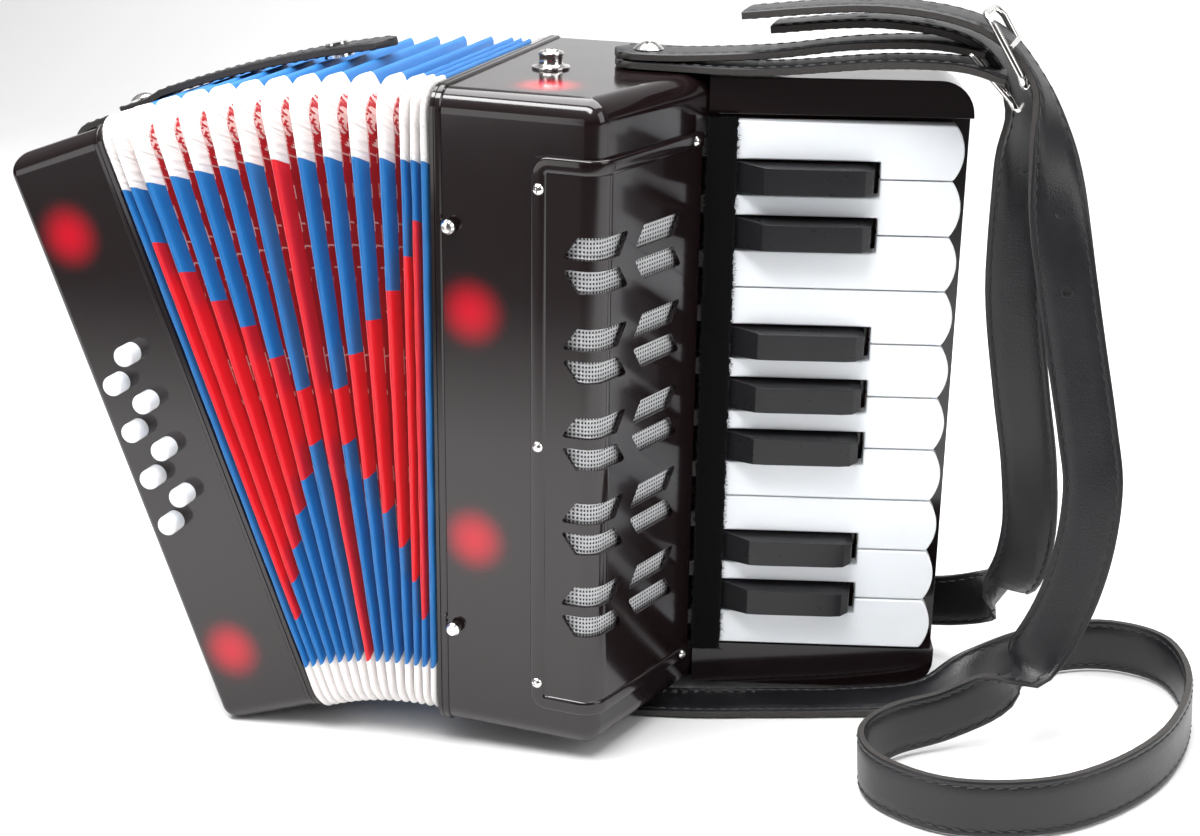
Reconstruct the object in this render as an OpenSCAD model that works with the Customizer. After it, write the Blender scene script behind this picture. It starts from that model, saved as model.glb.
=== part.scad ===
// Children's piano accordion: 17 treble keys, 8 bass buttons, 15 bellows folds.
// Millimetres, +Z up, bellows along X (treble side +X), grille side towards -Y.
// The instrument stands on the keyboard bed's lower corner and the bass case's
// lower corner with its bellows fanned open; z = 0 is the surface it stands on.

/* [Treble case] */
// height of the treble case
case_h = 230; // [200:1:260]
// depth of both cases, front to back
case_d = 116; // [100:1:130]
// bellows face to the ridge of the grille side
ridge_x = 59; // [50:1:70]
// how far the ridge stands out in front of the bellows rim
ridge_out = 2; // [0:0.5:6]
// bellows face to the keyboard side of the case
case_w = 77; // [70:1:90]
// depth at which the slanted grille side meets the keyboard
slant_y = 60; // [50:1:70]
// wall thickness of both cases
wall = 2.4; // [1.6:0.1:3]
// radius of the long front edges
edge_r = 8; // [4:1:12]
// how far the bellows rim of each case stands proud
rim_out = 0.7; // [0.3:0.1:1.5]

/* [Keyboard] */
// angle of the keyboard plane to the bellows axis
key_angle = 15.7; // [5:0.1:25]
// pitch of the white keys
key_pitch = 19.6; // [17:0.1:23]
// number of white keys
white_count = 10; // [10:1:10]
// height of the lowest white key's lower side
key_z0 = 19.2; // [15:0.1:25]
// end of the white keys, from the keyboard's inner edge
white_end = 87.5; // [70:0.5:100]
// end of the black keys, from the keyboard's inner edge
black_end = 57.5; // [45:0.5:65]
// width of a black key
black_w = 11; // [8:0.5:13]
// height of the black keys over the white keys
black_up = 7; // [4:0.5:10]
// thickness of the white keys
key_t = 7; // [5:0.5:9]
// length of the keyboard bed
bed_len = 90.3; // [75:0.1:105]
// thickness of the keyboard bed
bed_t = 24; // [15:1:30]
// radius of the bed's outer corners
bed_r = 12; // [6:1:16]
// radius of the key axle
axle_r = 1.5; // [1:0.1:2]

/* [Bellows] */
// number of folds
fold_count = 15; // [15:1:15]
// spacing of the folds when closed
fold_pitch = 3.2; // [2.8:0.1:4]
// total angle between the two cases
fan_angle = 20; // [0:0.5:36]
// how far the folds reach in from their outer ridge
fold_depth = 14; // [8:1:18]
// air gap between closed folds
fold_gap = 0.4; // [0.3:0.05:0.6]
// height of the hinge line at the lower end of the folds
hinge_z = 3.5; // [2:0.5:6]
// top of the folds
fold_top = 231.5; // [228:0.5:234]
// how far the folds stand in front of and behind the cases
fold_out = 2; // [0:0.5:4]

/* [Bass case] */
// width of the bass case
bass_w = 42; // [36:1:50]
// lower end of the bass case
bass_z0 = 5; // [2:0.5:8]
// upper end of the bass case
bass_z1 = 229; // [224:0.5:232]
// radius of a bass button
button_r = 3.75; // [3:0.05:5]
// pitch of the buttons in a row
button_pitch = 18.2; // [15:0.1:22]
// travel of a bass button
button_travel = 3.5; // [2:0.5:5]

/* [Straps] */
// width of the shoulder straps
strap_w = 20; // [15:1:25]
// thickness of the shoulder straps
strap_t = 2.6; // [2:0.1:3.5]
// width of the bellows strap
tie_w = 18; // [14:1:22]
// width of the hand strap
hand_w = 24; // [20:1:32]
// how far the hand strap arches off the bass case
hand_out = 18; // [12:1:20]

/* [Hidden] */
$fn = 48;

plastic = [0.10, 0.08, 0.08];
chrome = [0.80, 0.80, 0.82];
leather = [0.07, 0.07, 0.07];
wood = [0.72, 0.55, 0.36];

// boundaries, counted from the top, that carry a black key
black_at = [1, 2, 4, 5, 6, 8, 9];
key_top_y = -3;                 // white key surface in front of the keyboard plane
bed_floor_y = 9.5;              // bed surface behind the keyboard plane
axle_s = -13;                   // axle, along and behind the keyboard plane
axle_y = 1.5;
slant_len = norm([case_w - ridge_x, slant_y + ridge_out]);
slant_deg = atan2(slant_y + ridge_out, case_w - ridge_x);
keys_z1 = key_z0 + white_count * key_pitch;

// fan: hinge j lies between element j - 1 and element j, counted from the treble case;
// the last folds at each end stay nearly closed and the middle ones share the opening
function share(j) = j <= 3 || j >= fold_count ? 0.05 : j == 4 ? 0.65 : j == fold_count - 1 ? 0.5 : 1;
function shares(j) = j == 0 ? 0 : share(j) + shares(j - 1);
function turned(k) = fan_angle * shares(k) / shares(fold_count + 1);
function hinge_at(j) = j <= 1 ? [0, hinge_z]
  : hinge_at(j - 1) + fold_pitch * [-cos(turned(j - 1)), -sin(turned(j - 1))];
function fan_point(k, x, z) = let (h = hinge_at(k), a = turned(k))
  [h[0] + x * cos(a) - (z - hinge_z) * sin(a), h[1] + x * sin(a) + (z - hinge_z) * cos(a)];

// the stance: both lower corners touch z = 0
foot_r = 7;
foot_a = fan_point(fold_count + 1, -bass_w + foot_r, bass_z0 + foot_r);
foot_b = [case_w + (bed_len - bed_r) * cos(key_angle), 1 + bed_r];
feet = foot_b - foot_a;
roll = atan2(feet[1], feet[0]) + asin((foot_r - bed_r) / norm(feet));
lift = foot_r + foot_a[0] * sin(roll) - foot_a[1] * cos(roll);
// the object's middle, moved to x = 0, y = 0
mid = [53.86, 50];

module stance() translate([-mid[0], -mid[1], lift]) rotate([0, roll, 0]) children();
module room() translate([-mid[0], -mid[1], 0]) children();
module in_keys() translate([case_w, slant_y, 0]) rotate([0, 0, key_angle]) children();
module in_slant() translate([ridge_x, -ridge_out, 0]) rotate([0, 0, slant_deg]) children();
module in_fan(k) {
  h = hinge_at(k);
  translate([h[0], 0, h[1]]) rotate([0, -turned(k), 0]) translate([0, 0, -hinge_z]) children();
}
module in_bass() in_fan(fold_count + 1) children();
// lays a 2D profile of (y, z) along x
module along_x(x0, x1) translate([x0, 0, 0]) rotate([90, 0, 90]) linear_extrude(x1 - x0) children();
// lays a 2D profile of (x, z) along y
module along_y(y0, y1) translate([0, y1, 0]) rotate([90, 0, 0]) linear_extrude(y1 - y0) children();
module round_rect(x0, z0, x1, z1, r) {
  translate([x0 + r, z0]) square([x1 - x0 - 2 * r, z1 - z0]);
  translate([x0, z0 + r]) square([x1 - x0, z1 - z0 - 2 * r]);
  for (x = [x0 + r, x1 - r], z = [z0 + r, z1 - r]) translate([x, z]) circle(r);
}

/* ---- treble case ---- */
// (y, z) outline: round front edges, nearly square back edges
module side_outline(y0, y1, z0, z1, r, rb) {
  translate([y0, z0 + r]) square([r * 2, z1 - z0 - 2 * r]);
  translate([y0 + r, z0]) square([y1 - rb - y0 - r, z1 - z0]);
  translate([y1 - rb * 2, z0 + rb]) square([rb * 2, z1 - z0 - 2 * rb]);
  for (z = [z0 + r, z1 - r]) translate([y0 + r, z]) circle(r);
  for (z = [z0 + rb, z1 - rb]) translate([y1 - rb, z]) circle(rb);
}
module plan(o) {
  n = [cos(slant_deg + 90), sin(slant_deg + 90)] * o;
  polygon([[-1, o], [0, o], [ridge_x + n[0] / 2, -ridge_out + o],
    [case_w + n[0], slant_y + n[1]], [case_w - (o > 0 ? wall : 0), slant_y + 2 + n[1]],
    [case_w - (o > 0 ? wall : 0), case_d + (o > 0 ? 1 : 0)], [-1, case_d + (o > 0 ? 1 : 0)]]);
}
// prism that cuts both grille faces, from x0 around the ridge to s1 along the slant
module window(x0, z0, s1, z1, deep) {
  u = [cos(slant_deg), sin(slant_deg)];
  n = [sin(slant_deg), -cos(slant_deg)];
  r = [ridge_x, -ridge_out];
  translate([0, 0, z0]) linear_extrude(z1 - z0)
    polygon([[x0, -8], [ridge_x + 6, -8], r + s1 * u + 5 * n, r + s1 * u - deep * n, [x0 + 3, deep], [x0, deep]]);
}
module treble_case() stance() color(plastic) difference() {
  union() {
    intersection() {
      translate([0, 0, -1]) linear_extrude(case_h + 2) difference() {
        plan(0);
        translate([-2, -10]) square([2, case_d + 20]);
      }
      along_x(-1, case_w + 1) side_outline(-ridge_out - 0.5, case_d, 0, case_h, edge_r, 1.5);
    }
    along_x(0, 4) side_outline(-rim_out, case_d, 0, case_h, edge_r, 1.5);
  }
  intersection() {
    linear_extrude(case_h) plan(wall);
    along_x(-1, case_w + 1) side_outline(-ridge_out + wall - 0.5, case_d + 12, wall + 0.1, case_h - wall - 0.1,
      edge_r - wall, 1.5);
  }
  // opening under the grille cover
  window(44, 23, slant_len - 9, 203, 8);
  // slot that the keys pass through
  in_keys() translate([-9, -6, 17]) cube([14, 22, 200]);
}
module treble_back_cover() stance() color(plastic) difference() {
  translate([0.4, case_d - wall - 0.3, wall + 0.3])
    cube([case_w - wall - 0.7, wall, case_h - 2 * wall - 0.6]);
  for (x = [8, 68], z = [9, case_h - 9])
    translate([x, case_d + 1, z]) rotate([90, 0, 0]) cylinder(r = 1.4, h = 6, $fn = 24);
}

/* ---- grille ---- */
slot_rows = 5;
row_pitch = 30.7;
slot_h = 6.4;
slot_gap = 4.8;
slot_lean = 5;
grille_end = slant_len - 5.2;   // the panel's keyboard edge, under the felt
// a pair of leaning sound slots, s along the panel, mirrored about the row's middle
module slot_pair(s0, w) for (m = [0, 1]) mirror([0, m])
  polygon([[s0, slot_gap / 2], [s0 + slot_lean, slot_gap / 2 + slot_h],
    [s0 + w + slot_lean, slot_gap / 2 + slot_h], [s0 + w, slot_gap / 2]]);
module panel_outline(z0, z1, x0, s1, t) {
  // front part and slanted part of a sheet of thickness t, standing on the case
  intersection() {
    translate([x0, -ridge_out * x0 / ridge_x - 6, z0]) cube([ridge_x - x0 + 8, 6, z1 - z0]);
    translate([0, 0, z0]) linear_extrude(z1 - z0) polygon([[x0, -ridge_out * x0 / ridge_x],
      [x0, -ridge_out * x0 / ridge_x - t], [ridge_x + t * 0.75, -ridge_out - t], [ridge_x, -ridge_out]]);
  }
  translate([0, 0, z0]) linear_extrude(z1 - z0) {
    u = [cos(slant_deg), sin(slant_deg)];
    n = [sin(slant_deg), -cos(slant_deg)];
    r = [ridge_x, -ridge_out];
    polygon([r, r + t * [0.75, -1], r + s1 * u + t * n, r + s1 * u]);
  }
}
module grille_cover() stance() color(plastic) difference() {
  panel_outline(14.5, 211.5, 36.2, grille_end, 2.2);
  difference() {
    panel_outline(19.4, 206.5, 41.4, slant_len + 2, 2.6);
    panel_outline(19, 207, 41, slant_len + 2, 1.5);
  }
  for (row = [0 : slot_rows - 1]) {
    zc = case_h / 2 + 0.4 + (row - 2) * row_pitch;
    // slots that wrap around the ridge
    translate([ridge_x, 0, zc]) rotate([90, 0, 0]) translate([0, 0, -4]) linear_extrude(12) intersection() {
      slot_pair(-11.9, 22);
      translate([-20, -20]) square([20, 40]);
    }
    in_slant() translate([0, 0, zc]) rotate([90, 0, 0]) translate([0, 0, -3]) linear_extrude(9) {
      intersection() {
        slot_pair(-11.9, 22);
        translate([-0.5, -20]) square([40, 40]);
      }
      slot_pair(18.9, 23.6);
    }
  }
  for (z = [24.3, 112.6, 200.8]) translate([38.8, 0, z]) rotate([90, 0, 0]) cylinder(r = 1, h = 20, center = true, $fn = 20);
  for (z = [17, 209]) in_slant() translate([55, 0, z]) rotate([90, 0, 0]) cylinder(r = 1, h = 12, center = true, $fn = 20);
}
module grille_mesh() stance() color([0.88, 0.88, 0.90]) difference() {
  translate([0, 0, 24]) linear_extrude(178) {
    u = [cos(slant_deg), sin(slant_deg)];
    n = [-sin(slant_deg), cos(slant_deg)];
    r = [ridge_x - 0.4, -ridge_out + 0.3];
    polygon([[44.6, -1.1], r, r + 54.4 * u, r + 54.4 * u + 0.8 * n, r + 0.8 * n * 0.9 + [-0.2, 0.5],
      [44.6, -0.2]]);
  }
}
// small screw head with a cross recess, standing on a face towards -Y
module dome_screw(r, h, shank) {
  difference() {
    rotate([90, 0, 0]) rotate_extrude($fn = 32) intersection() {
      translate([0, h - (r * r + h * h) / (2 * h)]) circle((r * r + h * h) / (2 * h), $fn = 64);
      square([r, h]);
    }
    translate([0, -h, 0]) {
      cube([r * 1.1, h * 0.7, r * 0.24], center = true);
      cube([r * 0.24, h * 0.7, r * 1.1], center = true);
    }
  }
  if (shank > 0) rotate([-90, 0, 0]) translate([0, 0, -0.01]) cylinder(r = 0.85, h = shank, $fn = 20);
}
module treble_fasteners() stance() color(chrome) {
  for (z = [24.3, 112.6, 200.8]) translate([38.8, -ridge_out * 38.8 / ridge_x - 2.3, z]) dome_screw(1.9, 1.1, 2.2);
  for (z = [17, 209]) in_slant() translate([55, -2.22, z]) dome_screw(1.9, 1.1, 2.1);
  for (z = [39.7, 185.5]) translate([7.2, -ridge_out * 7.2 / ridge_x - 0.1, z]) rotate([90, 0, 0]) rotate_extrude($fn = 32)
    polygon([[0, 0], [1.7, 0], [1.7, 1.8], [2.5, 1.8], [2.5, 3.2], [1.8, 4.1], [0, 4.3]]);
  for (x = [8, 68], z = [9, case_h - 9]) translate([x, case_d - 0.3, z]) mirror([0, 1, 0]) dome_screw(2.2, 1.2, 2);
  // upper and lower strap screws
  translate([anchor[0], anchor[1], case_h + 0.02]) cylinder(r = 1.8, h = 2 * strap_t + 1.4, $fn = 24);
  translate([anchor[0], anchor[1], case_h + 2 * strap_t + 1.4]) rotate([-90, 0, 0]) dome_screw(5.2, 2.4, 0);
  translate([low_anchor[0], case_d + strap_t + 1.2, low_anchor[1]]) mirror([0, 1, 0]) dome_screw(4.2, 1.6, 0);
}
module snap_stud() stance() color(chrome) translate([23.5, 51, case_h]) rotate_extrude($fn = 48)
  polygon([[0, 0], [6.4, 0], [6.6, 0.5], [6.2, 1.1], [4.0, 1.4], [3.8, 2.6], [4.4, 3.6], [4.4, 5.2], [3.9, 5.9], [0, 6.1]]);

/* ---- keyboard ---- */
module keyboard_bed() stance() color(plastic) in_keys() difference() {
  // board with round outer corners and an end cheek above and below the keys
  along_y(0, bed_t) round_rect(-14, 1, bed_len, 229.5, bed_r);
  // its inner end stops at the case
  rotate([0, 0, -key_angle]) translate([-60, -60, -2]) cube([60.4, 180, case_h + 4]);
  translate([-30, -30, -1]) cube([30.3, 60, case_h + 2]);
  // sunk surface under the keys
  translate([-1, -1, 17.6]) cube([bed_len + 2, bed_floor_y + 1, keys_z1 - 17.6 + 1.6]);
  // hollow from behind
  translate([8, bed_floor_y + 2.6, 18]) cube([bed_len - 12, bed_t, 198]);
}
module key_felt() stance() color([0.02, 0.02, 0.02]) in_keys()
  translate([0, 0, 17.7]) linear_extrude(keys_z1 - 17.7 + 1.4)
    polygon([[0.2, -4.4], [0.6, -5.6], [10.2, -5.6], [10.4, -4.2], [0.2, -4.2]]);
module key_axle() stance() color(chrome) in_keys() {
  translate([axle_s, axle_y, wall + 0.2]) cylinder(r = axle_r, h = case_h - 2 * wall - 0.4, $fn = 32);
}
function boundary(i) = keys_z1 - i * key_pitch;
// arm, hub and pallet at height z
module key_arm(z, from_s) translate([0, 0, z]) difference() {
  union() {
    translate([axle_s, key_top_y + 0.2, -3]) cube([from_s - axle_s + 0.5, 5.5, 6]);
    translate([axle_s, axle_y, -3]) cylinder(r = 4, h = 6, $fn = 48);
    translate([-38, axle_y - 1.5, -2]) cube([38 + axle_s, 3, 4]);
    translate([-43, axle_y - 1.5, -3.5]) cube([11, 7.5, 7]);
  }
  translate([axle_s, axle_y, -4]) cylinder(r = axle_r + 0.06, h = 8, $fn = 32);
}
module white_key(i) stance() color([0.93, 0.93, 0.94]) in_keys() {
  z1 = boundary(i - 1) - 0.25;
  z0 = boundary(i) + 0.25;
  zc = (z0 + z1) / 2;
  tip_r = 16;
  difference() {
    union() {
      intersection() {
        along_y(key_top_y, key_top_y + key_t) intersection() {
          translate([4, z0]) square([white_end - 4, z1 - z0]);
          union() {
            translate([4, z0]) square([white_end - 12, z1 - z0]);
            translate([white_end - tip_r, zc]) circle(tip_r, $fn = 96);
          }
        }
        translate([0, -10, 0]) cube([100, 30, case_h]);
      }
      key_arm(zc, 4.5);
    }
    for (b = black_at) if (b == i - 1 || b == i)
      translate([-1, -10, boundary(b) - black_w / 2 - 0.7])
        cube([black_end + 3, 40, black_w + 1.4]);
  }
}
module black_key(i) stance() color([0.06, 0.06, 0.06]) in_keys() {
  zc = boundary(black_at[i - 1]);
  lo = key_top_y + key_t;
  union() {
    intersection() {
      translate([0, 0, zc - black_w / 2]) linear_extrude(black_w) polygon([[3, lo], [3, key_top_y],
        [10.8, key_top_y], [20, key_top_y - black_up], [black_end - 4, key_top_y - black_up],
        [black_end, key_top_y - 1], [black_end, lo]]);
      along_y(-20, 20) round_rect(-20, zc - black_w / 2, black_end, zc + black_w / 2, 2);
    }
    key_arm(zc, 3.4);
  }
}
module white_key_1() white_key(1);
module white_key_2() white_key(2);
module white_key_3() white_key(3);
module white_key_4() white_key(4);
module white_key_5() white_key(5);
module white_key_6() white_key(6);
module white_key_7() white_key(7);
module white_key_8() white_key(8);
module white_key_9() white_key(9);
module white_key_10() white_key(10);
module black_key_1() black_key(1);
module black_key_2() black_key(2);
module black_key_3() black_key(3);
module black_key_4() black_key(4);
module black_key_5() black_key(5);
module black_key_6() black_key(6);
module black_key_7() black_key(7);
// wooden block with the metal reeds, its pallet holes facing the keys
module treble_reed_block() stance() color(wood) in_keys() difference() {
  translate([-60, axle_y + 6.4, wall + 0.4]) cube([36, 22, case_h - 2 * wall - 0.8]);
  for (i = [0 : 16]) translate([-40, axle_y, key_z0 + key_pitch / 2 + i * 11]) cube([6, 22, 4]);
}

/* ---- bellows: one ring per fold ---- */
module fold_ring(k) stance() in_fan(k) color([0.05, 0.35, 0.70]) difference() {
  y0 = -fold_out;
  y1 = case_d + fold_out;
  union() {
    along_x(-fold_pitch + fold_gap / 2, -fold_gap / 2)
      round_rect(y0 + 0.8, hinge_z + 0.8, y1 - 0.8, fold_top - 0.8, 9.2);
    along_x(-fold_pitch / 2 - 0.7, -fold_pitch / 2 + 0.7)
      round_rect(y0, hinge_z, y1, fold_top, 10);
  }
  along_x(-fold_pitch - 1, 1)
    round_rect(y0 + fold_depth, hinge_z + fold_depth, y1 - fold_depth, fold_top - fold_depth, 4);
}
module bellows_fold_01() fold_ring(1);
module bellows_fold_02() fold_ring(2);
module bellows_fold_03() fold_ring(3);
module bellows_fold_04() fold_ring(4);
module bellows_fold_05() fold_ring(5);
module bellows_fold_06() fold_ring(6);
module bellows_fold_07() fold_ring(7);
module bellows_fold_08() fold_ring(8);
module bellows_fold_09() fold_ring(9);
module bellows_fold_10() fold_ring(10);
module bellows_fold_11() fold_ring(11);
module bellows_fold_12() fold_ring(12);
module bellows_fold_13() fold_ring(13);
module bellows_fold_14() fold_ring(14);
module bellows_fold_15() fold_ring(15);

/* ---- bass side ---- */
// two staggered rows of four
function button_x(i) = i % 2 == 1 ? -20.6 : -29.6;
function button_z(i) = 151 - (i - 1) * button_pitch / 2;
module bass_case() stance() in_bass() color(plastic) difference() {
  union() {
    intersection() {
      along_y(-1, case_d + 1) round_rect(-bass_w, bass_z0, 12, bass_z1, foot_r);
      along_x(-bass_w, 0) round_rect(0, bass_z0, case_d, bass_z1, foot_r);
    }
    along_x(-4, 0) round_rect(-rim_out, bass_z0 - rim_out + 0.7, case_d + rim_out, bass_z1, foot_r);
  }
  intersection() {
    along_y(-1, case_d + 1) round_rect(-bass_w + wall, bass_z0 + wall, 12, bass_z1 - wall, foot_r - wall);
    along_x(-bass_w, 1) round_rect(wall, bass_z0 + wall, case_d - wall, bass_z1 - wall, foot_r - wall);
  }
  for (i = [1 : 8]) translate([button_x(i), -2, button_z(i)]) rotate([-90, 0, 0])
    cylinder(r = button_r + 0.35, h = 8, $fn = 40);
}
module bass_button(i) stance() in_bass() color([0.95, 0.95, 0.93])
  translate([button_x(i), 0, button_z(i)]) rotate([-90, 0, 0]) rotate_extrude($fn = 40)
    polygon([[0, -8.2], [1.8, -8.1], [2.9, -7.6], [3.5, -6.8], [button_r, -5.6], [button_r, wall + 0.5],
      [button_r + 1.6, wall + 0.5], [button_r + 1.6, wall + 1.8], [2, wall + 1.8], [2, 22], [0, 22]]);
module bass_button_1() bass_button(1);
module bass_button_2() bass_button(2);
module bass_button_3() bass_button(3);
module bass_button_4() bass_button(4);
module bass_button_5() bass_button(5);
module bass_button_6() bass_button(6);
module bass_button_7() bass_button(7);
module bass_button_8() bass_button(8);
module bass_reed_block() stance() in_bass() color(wood) difference() {
  translate([-bass_w + wall + 0.4, 30, 40]) cube([30, 66, 150]);
  for (i = [0 : 5]) translate([-14, 36, 52 + i * 22]) cube([10, 54, 8]);
}
hand_r = (72 * 72 + hand_out * hand_out) / (2 * hand_out);
module hand_strap() stance() in_bass() color(leather) {
  translate([0, 58 - hand_w / 2, 0]) along_y(0, hand_w) {
    intersection() {
      difference() {
        translate([-bass_w - hand_out + hand_r, 117]) circle(hand_r, $fn = 180);
        translate([-bass_w - hand_out + hand_r, 117]) circle(hand_r - 2.6, $fn = 180);
      }
      translate([-bass_w - hand_out - 1, 45]) square([hand_out + 0.9, 144]);
    }
    translate([-bass_w - 2.7, 28]) square([2.6, 19]);
    // upper end, carried over the case's top edge
    translate([-bass_w - 2.7, 187]) square([2.6, bass_z1 - 187 - foot_r]);
    intersection() {
      difference() {
        translate([-bass_w + foot_r, bass_z1 - foot_r]) circle(foot_r + 2.7);
        translate([-bass_w + foot_r, bass_z1 - foot_r]) circle(foot_r + 0.1);
      }
      translate([-bass_w - 3, bass_z1 - foot_r]) square([foot_r + 3, foot_r + 3]);
    }
    translate([-bass_w + foot_r, bass_z1 + 0.1]) square([13, 2.6]);
  }
}
module bass_screws() stance() in_bass() color(chrome) {
  for (z = [36, 198]) translate([-bass_w - 2.7, 58, z]) rotate([0, 0, -90]) dome_screw(4, 1.6, 0);
  translate([tie_x, tie_y, bass_z1]) rotate_extrude($fn = 40)
    polygon([[0, 0], [3.4, 0], [3.4, 0.9], [2, 0.9], [2, tie_gap + 3.4], [0, tie_gap + 3.4]]);
  translate([tie_x, tie_y, bass_z1 + tie_gap + 3.4]) rotate([-90, 0, 0]) dome_screw(4.4, 1.8, 0);
}
// strap that buttons over the closed bellows; it is hinged at its screw
tie_x = -12;
tie_y = 51;
tie_end = 94;
tie_gap = 1.7;
tie_left = 21;
function tie_rise(x) = x <= tie_x + 6 ? 0 : x < 2 ? 1.4 * (x - tie_x - 6) / (2 - tie_x - 6) : 1.4 - x * x / 1000;
module bellows_strap() stance() in_bass() color(leather) {
  z = bass_z1 + tie_gap;
  xs = concat([-tie_left, tie_x + 6, 2], [for (x = [12 : 10 : tie_end - 10]) x], [tie_end]);
  difference() {
    intersection() {
      along_y(tie_y - tie_w / 2, tie_y + tie_w / 2) polygon(concat(
        [for (x = xs) [x, z + tie_rise(x)]],
        [for (i = [len(xs) - 1 : -1 : 0]) [xs[i], z + 2.6 + tie_rise(xs[i])]]));
      translate([0, 0, bass_z1 - 40]) linear_extrude(80) {
        translate([-tie_left + tie_w / 2, tie_y - tie_w / 2]) square([tie_end + tie_left - tie_w, tie_w]);
        for (x = [-tie_left + tie_w / 2, tie_end - tie_w / 2]) translate([x, tie_y]) circle(tie_w / 2);
      }
    }
    translate([tie_x, tie_y, bass_z1]) cylinder(r = 2.4, h = 7, $fn = 32);
  }
}
stud_reach = fold_count * fold_pitch + 23.5;
module snap_socket() stance() in_bass() color(chrome)
  translate([stud_reach, tie_y, bass_z1 + tie_gap + tie_rise(stud_reach)]) rotate([0, 8.2, 0]) {
    translate([0, 0, -1.4]) difference() {
      cylinder(r = 5.4, h = 1.2, $fn = 40);
      translate([0, 0, -1]) cylinder(r = 4, h = 1.8, $fn = 40);
    }
    translate([0, 0, 2.85]) cylinder(r = 4.2, h = 1, $fn = 40);
  }

/* ---- shoulder straps ---- */
anchor = [54, 65];
low_anchor = [60, 16];   // x and z of the lower screw on the back cover
function smooth(a, b, c, d, t) = 0.5 * ((2 * b) + (c - a) * t + (2 * a - 5 * b + 4 * c - d) * t * t
  + (3 * b - a - 3 * c + d) * t * t * t);
function path(p, n) = let (m = len(p)) concat([for (i = [0 : m - 2], k = [0 : n - 1])
  smooth(p[max(i - 1, 0)], p[i], p[i + 1], p[min(i + 2, m - 1)], k / n)], [p[m - 1]]);
function unit(v) = v / norm(v);
// sweeps a flat band of width w and thickness t along points p; widths[i] points across it
module band(p, widths, w, t) {
  n = len(p);
  tang = [for (i = [0 : n - 1]) unit(p[min(i + 1, n - 1)] - p[max(i - 1, 0)])];
  side = [for (i = [0 : n - 1]) unit(widths[i] - (widths[i] * tang[i]) * tang[i])];
  up = [for (i = [0 : n - 1]) cross(tang[i], side[i])];
  pts = [for (i = [0 : n - 1], c = [[-1, -1], [1, -1], [1, 1], [-1, 1]])
    p[i] + side[i] * c[0] * w / 2 + up[i] * c[1] * t / 2];
  polyhedron(pts, concat([[3, 2, 1, 0]], [[0, 1, 2, 3] + [1, 1, 1, 1] * (n - 1) * 4],
    [for (i = [0 : n - 2], c = [0 : 3]) let (d = (c + 1) % 4)
      [i * 4 + c, i * 4 + d, (i + 1) * 4 + d, (i + 1) * 4 + c]]), convexity = 8);
}
flat_w = [0, 1, 0];
hang_w = [1, 0, 0];
edge_w = [0, 0, 1];

module shoulder_strap_front() room() color(leather) {
  pts = [[104, 71, 253], [150, 73, 254.5], [184, 74, 247], [201, 73, 229], [206.5, 68, 208],
    [210, 63, 182], [215, 60, 150], [221, 56, 115], [223.5, 53, 94], [220, 50, 68], [211, 47, 44],
    [197, 43, 25], [178, 37, 14.5], [160, 25, 12], [153, 8, 11], [163, -10, 11], [190, -20, 11],
    [224, -9, 11], [249, 24, 11], [257, 66, 11], [248, 101, 11], [226, 112, 11], [203, 103, 11],
    [184, 84, 9], [164, 70, 3.6], [134, 62, 1.9], [105, 55, 1.9], [77, 49, 1.9], [30, 44, 1.9]];
  ws = [flat_w, flat_w, flat_w, flat_w, [0.6, 0.8, 0], [0.95, 0.3, 0], hang_w, hang_w, hang_w,
    hang_w, [0.9, 0, 0.35], [0.6, 0, 0.8], [0.2, 0, 1], edge_w, edge_w, edge_w, edge_w, edge_w,
    edge_w, edge_w, edge_w, edge_w, edge_w, [-0.3, 0.4, 0.8], [-0.2, 1, 0.15], flat_w, flat_w, flat_w,
    flat_w];
  band(path(pts, 4), path(ws, 4), strap_w, strap_t);
}
module shoulder_strap_rear() room() color(leather) {
  pts = [[112, 77, 247.4], [150, 80, 248.4], [180, 83, 241], [193, 86, 221], [194, 88, 196], [192, 88, 154],
    [195, 88, 118], [198, 90, 88], [197, 97, 58], [188, 109, 33], [168, 117, 22], [140, 120, 19.5],
    [105, 118.8, 21], [80, 118, 22.4], [52, 118, 24.4]];
  ws = [flat_w, flat_w, flat_w, [0.3, 1, 0], [0.9, 0.5, 0], hang_w, hang_w, hang_w, [1, -0.2, 0.1],
    [0.8, -0.2, 0.5], [0.3, 0, 1], edge_w, edge_w, [0.07, 0, 1], [0.07, 0, 1], [0.07, 0, 1]];
  band(path(pts, 4), path(ws, 4), strap_w, strap_t);
}
module tab_hole() translate([anchor[0] * cos(roll) + (case_h + strap_t) * sin(roll), anchor[1], 200])
  cylinder(r = 2.6, h = 60, $fn = 24);
module strap_tabs() room() color(leather) {
  // short straps from the upper screw to the buckles
  difference() {
    band(path([[58, 66, 238.0], [80, 66, 236.4], [112, 68, 234.6], [150, 70, 236.4], [176, 73, 235]], 4),
      path([flat_w, flat_w, flat_w, flat_w, flat_w], 4), strap_w, strap_t);
    tab_hole();
  }
  difference() {
    band(path([[58, 66, 241.0], [80, 67, 239.6], [112, 72, 239.6], [140, 77, 241.6], [166, 80, 240.6]], 4),
      path([flat_w, flat_w, flat_w, flat_w, flat_w], 4), strap_w, strap_t);
    tab_hole();
  }
}
// chrome frame with a middle bar
module buckle() {
  difference() {
    along_y(-1, 1) round_rect(-11, -14, 11, 14, 4);
    along_y(-2, 2) round_rect(-8.6, -11.4, 8.6, 11.4, 2.4);
  }
  translate([-10, 0, 0]) rotate([0, 90, 0]) cylinder(r = 1.1, h = 20, $fn = 24);
}
module strap_buckles() room() color(chrome) {
  translate([189, 73, 240]) rotate([0, 40, 90]) buckle();
  translate([186, 83, 232]) rotate([0, 60, 90]) buckle();
}

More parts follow.
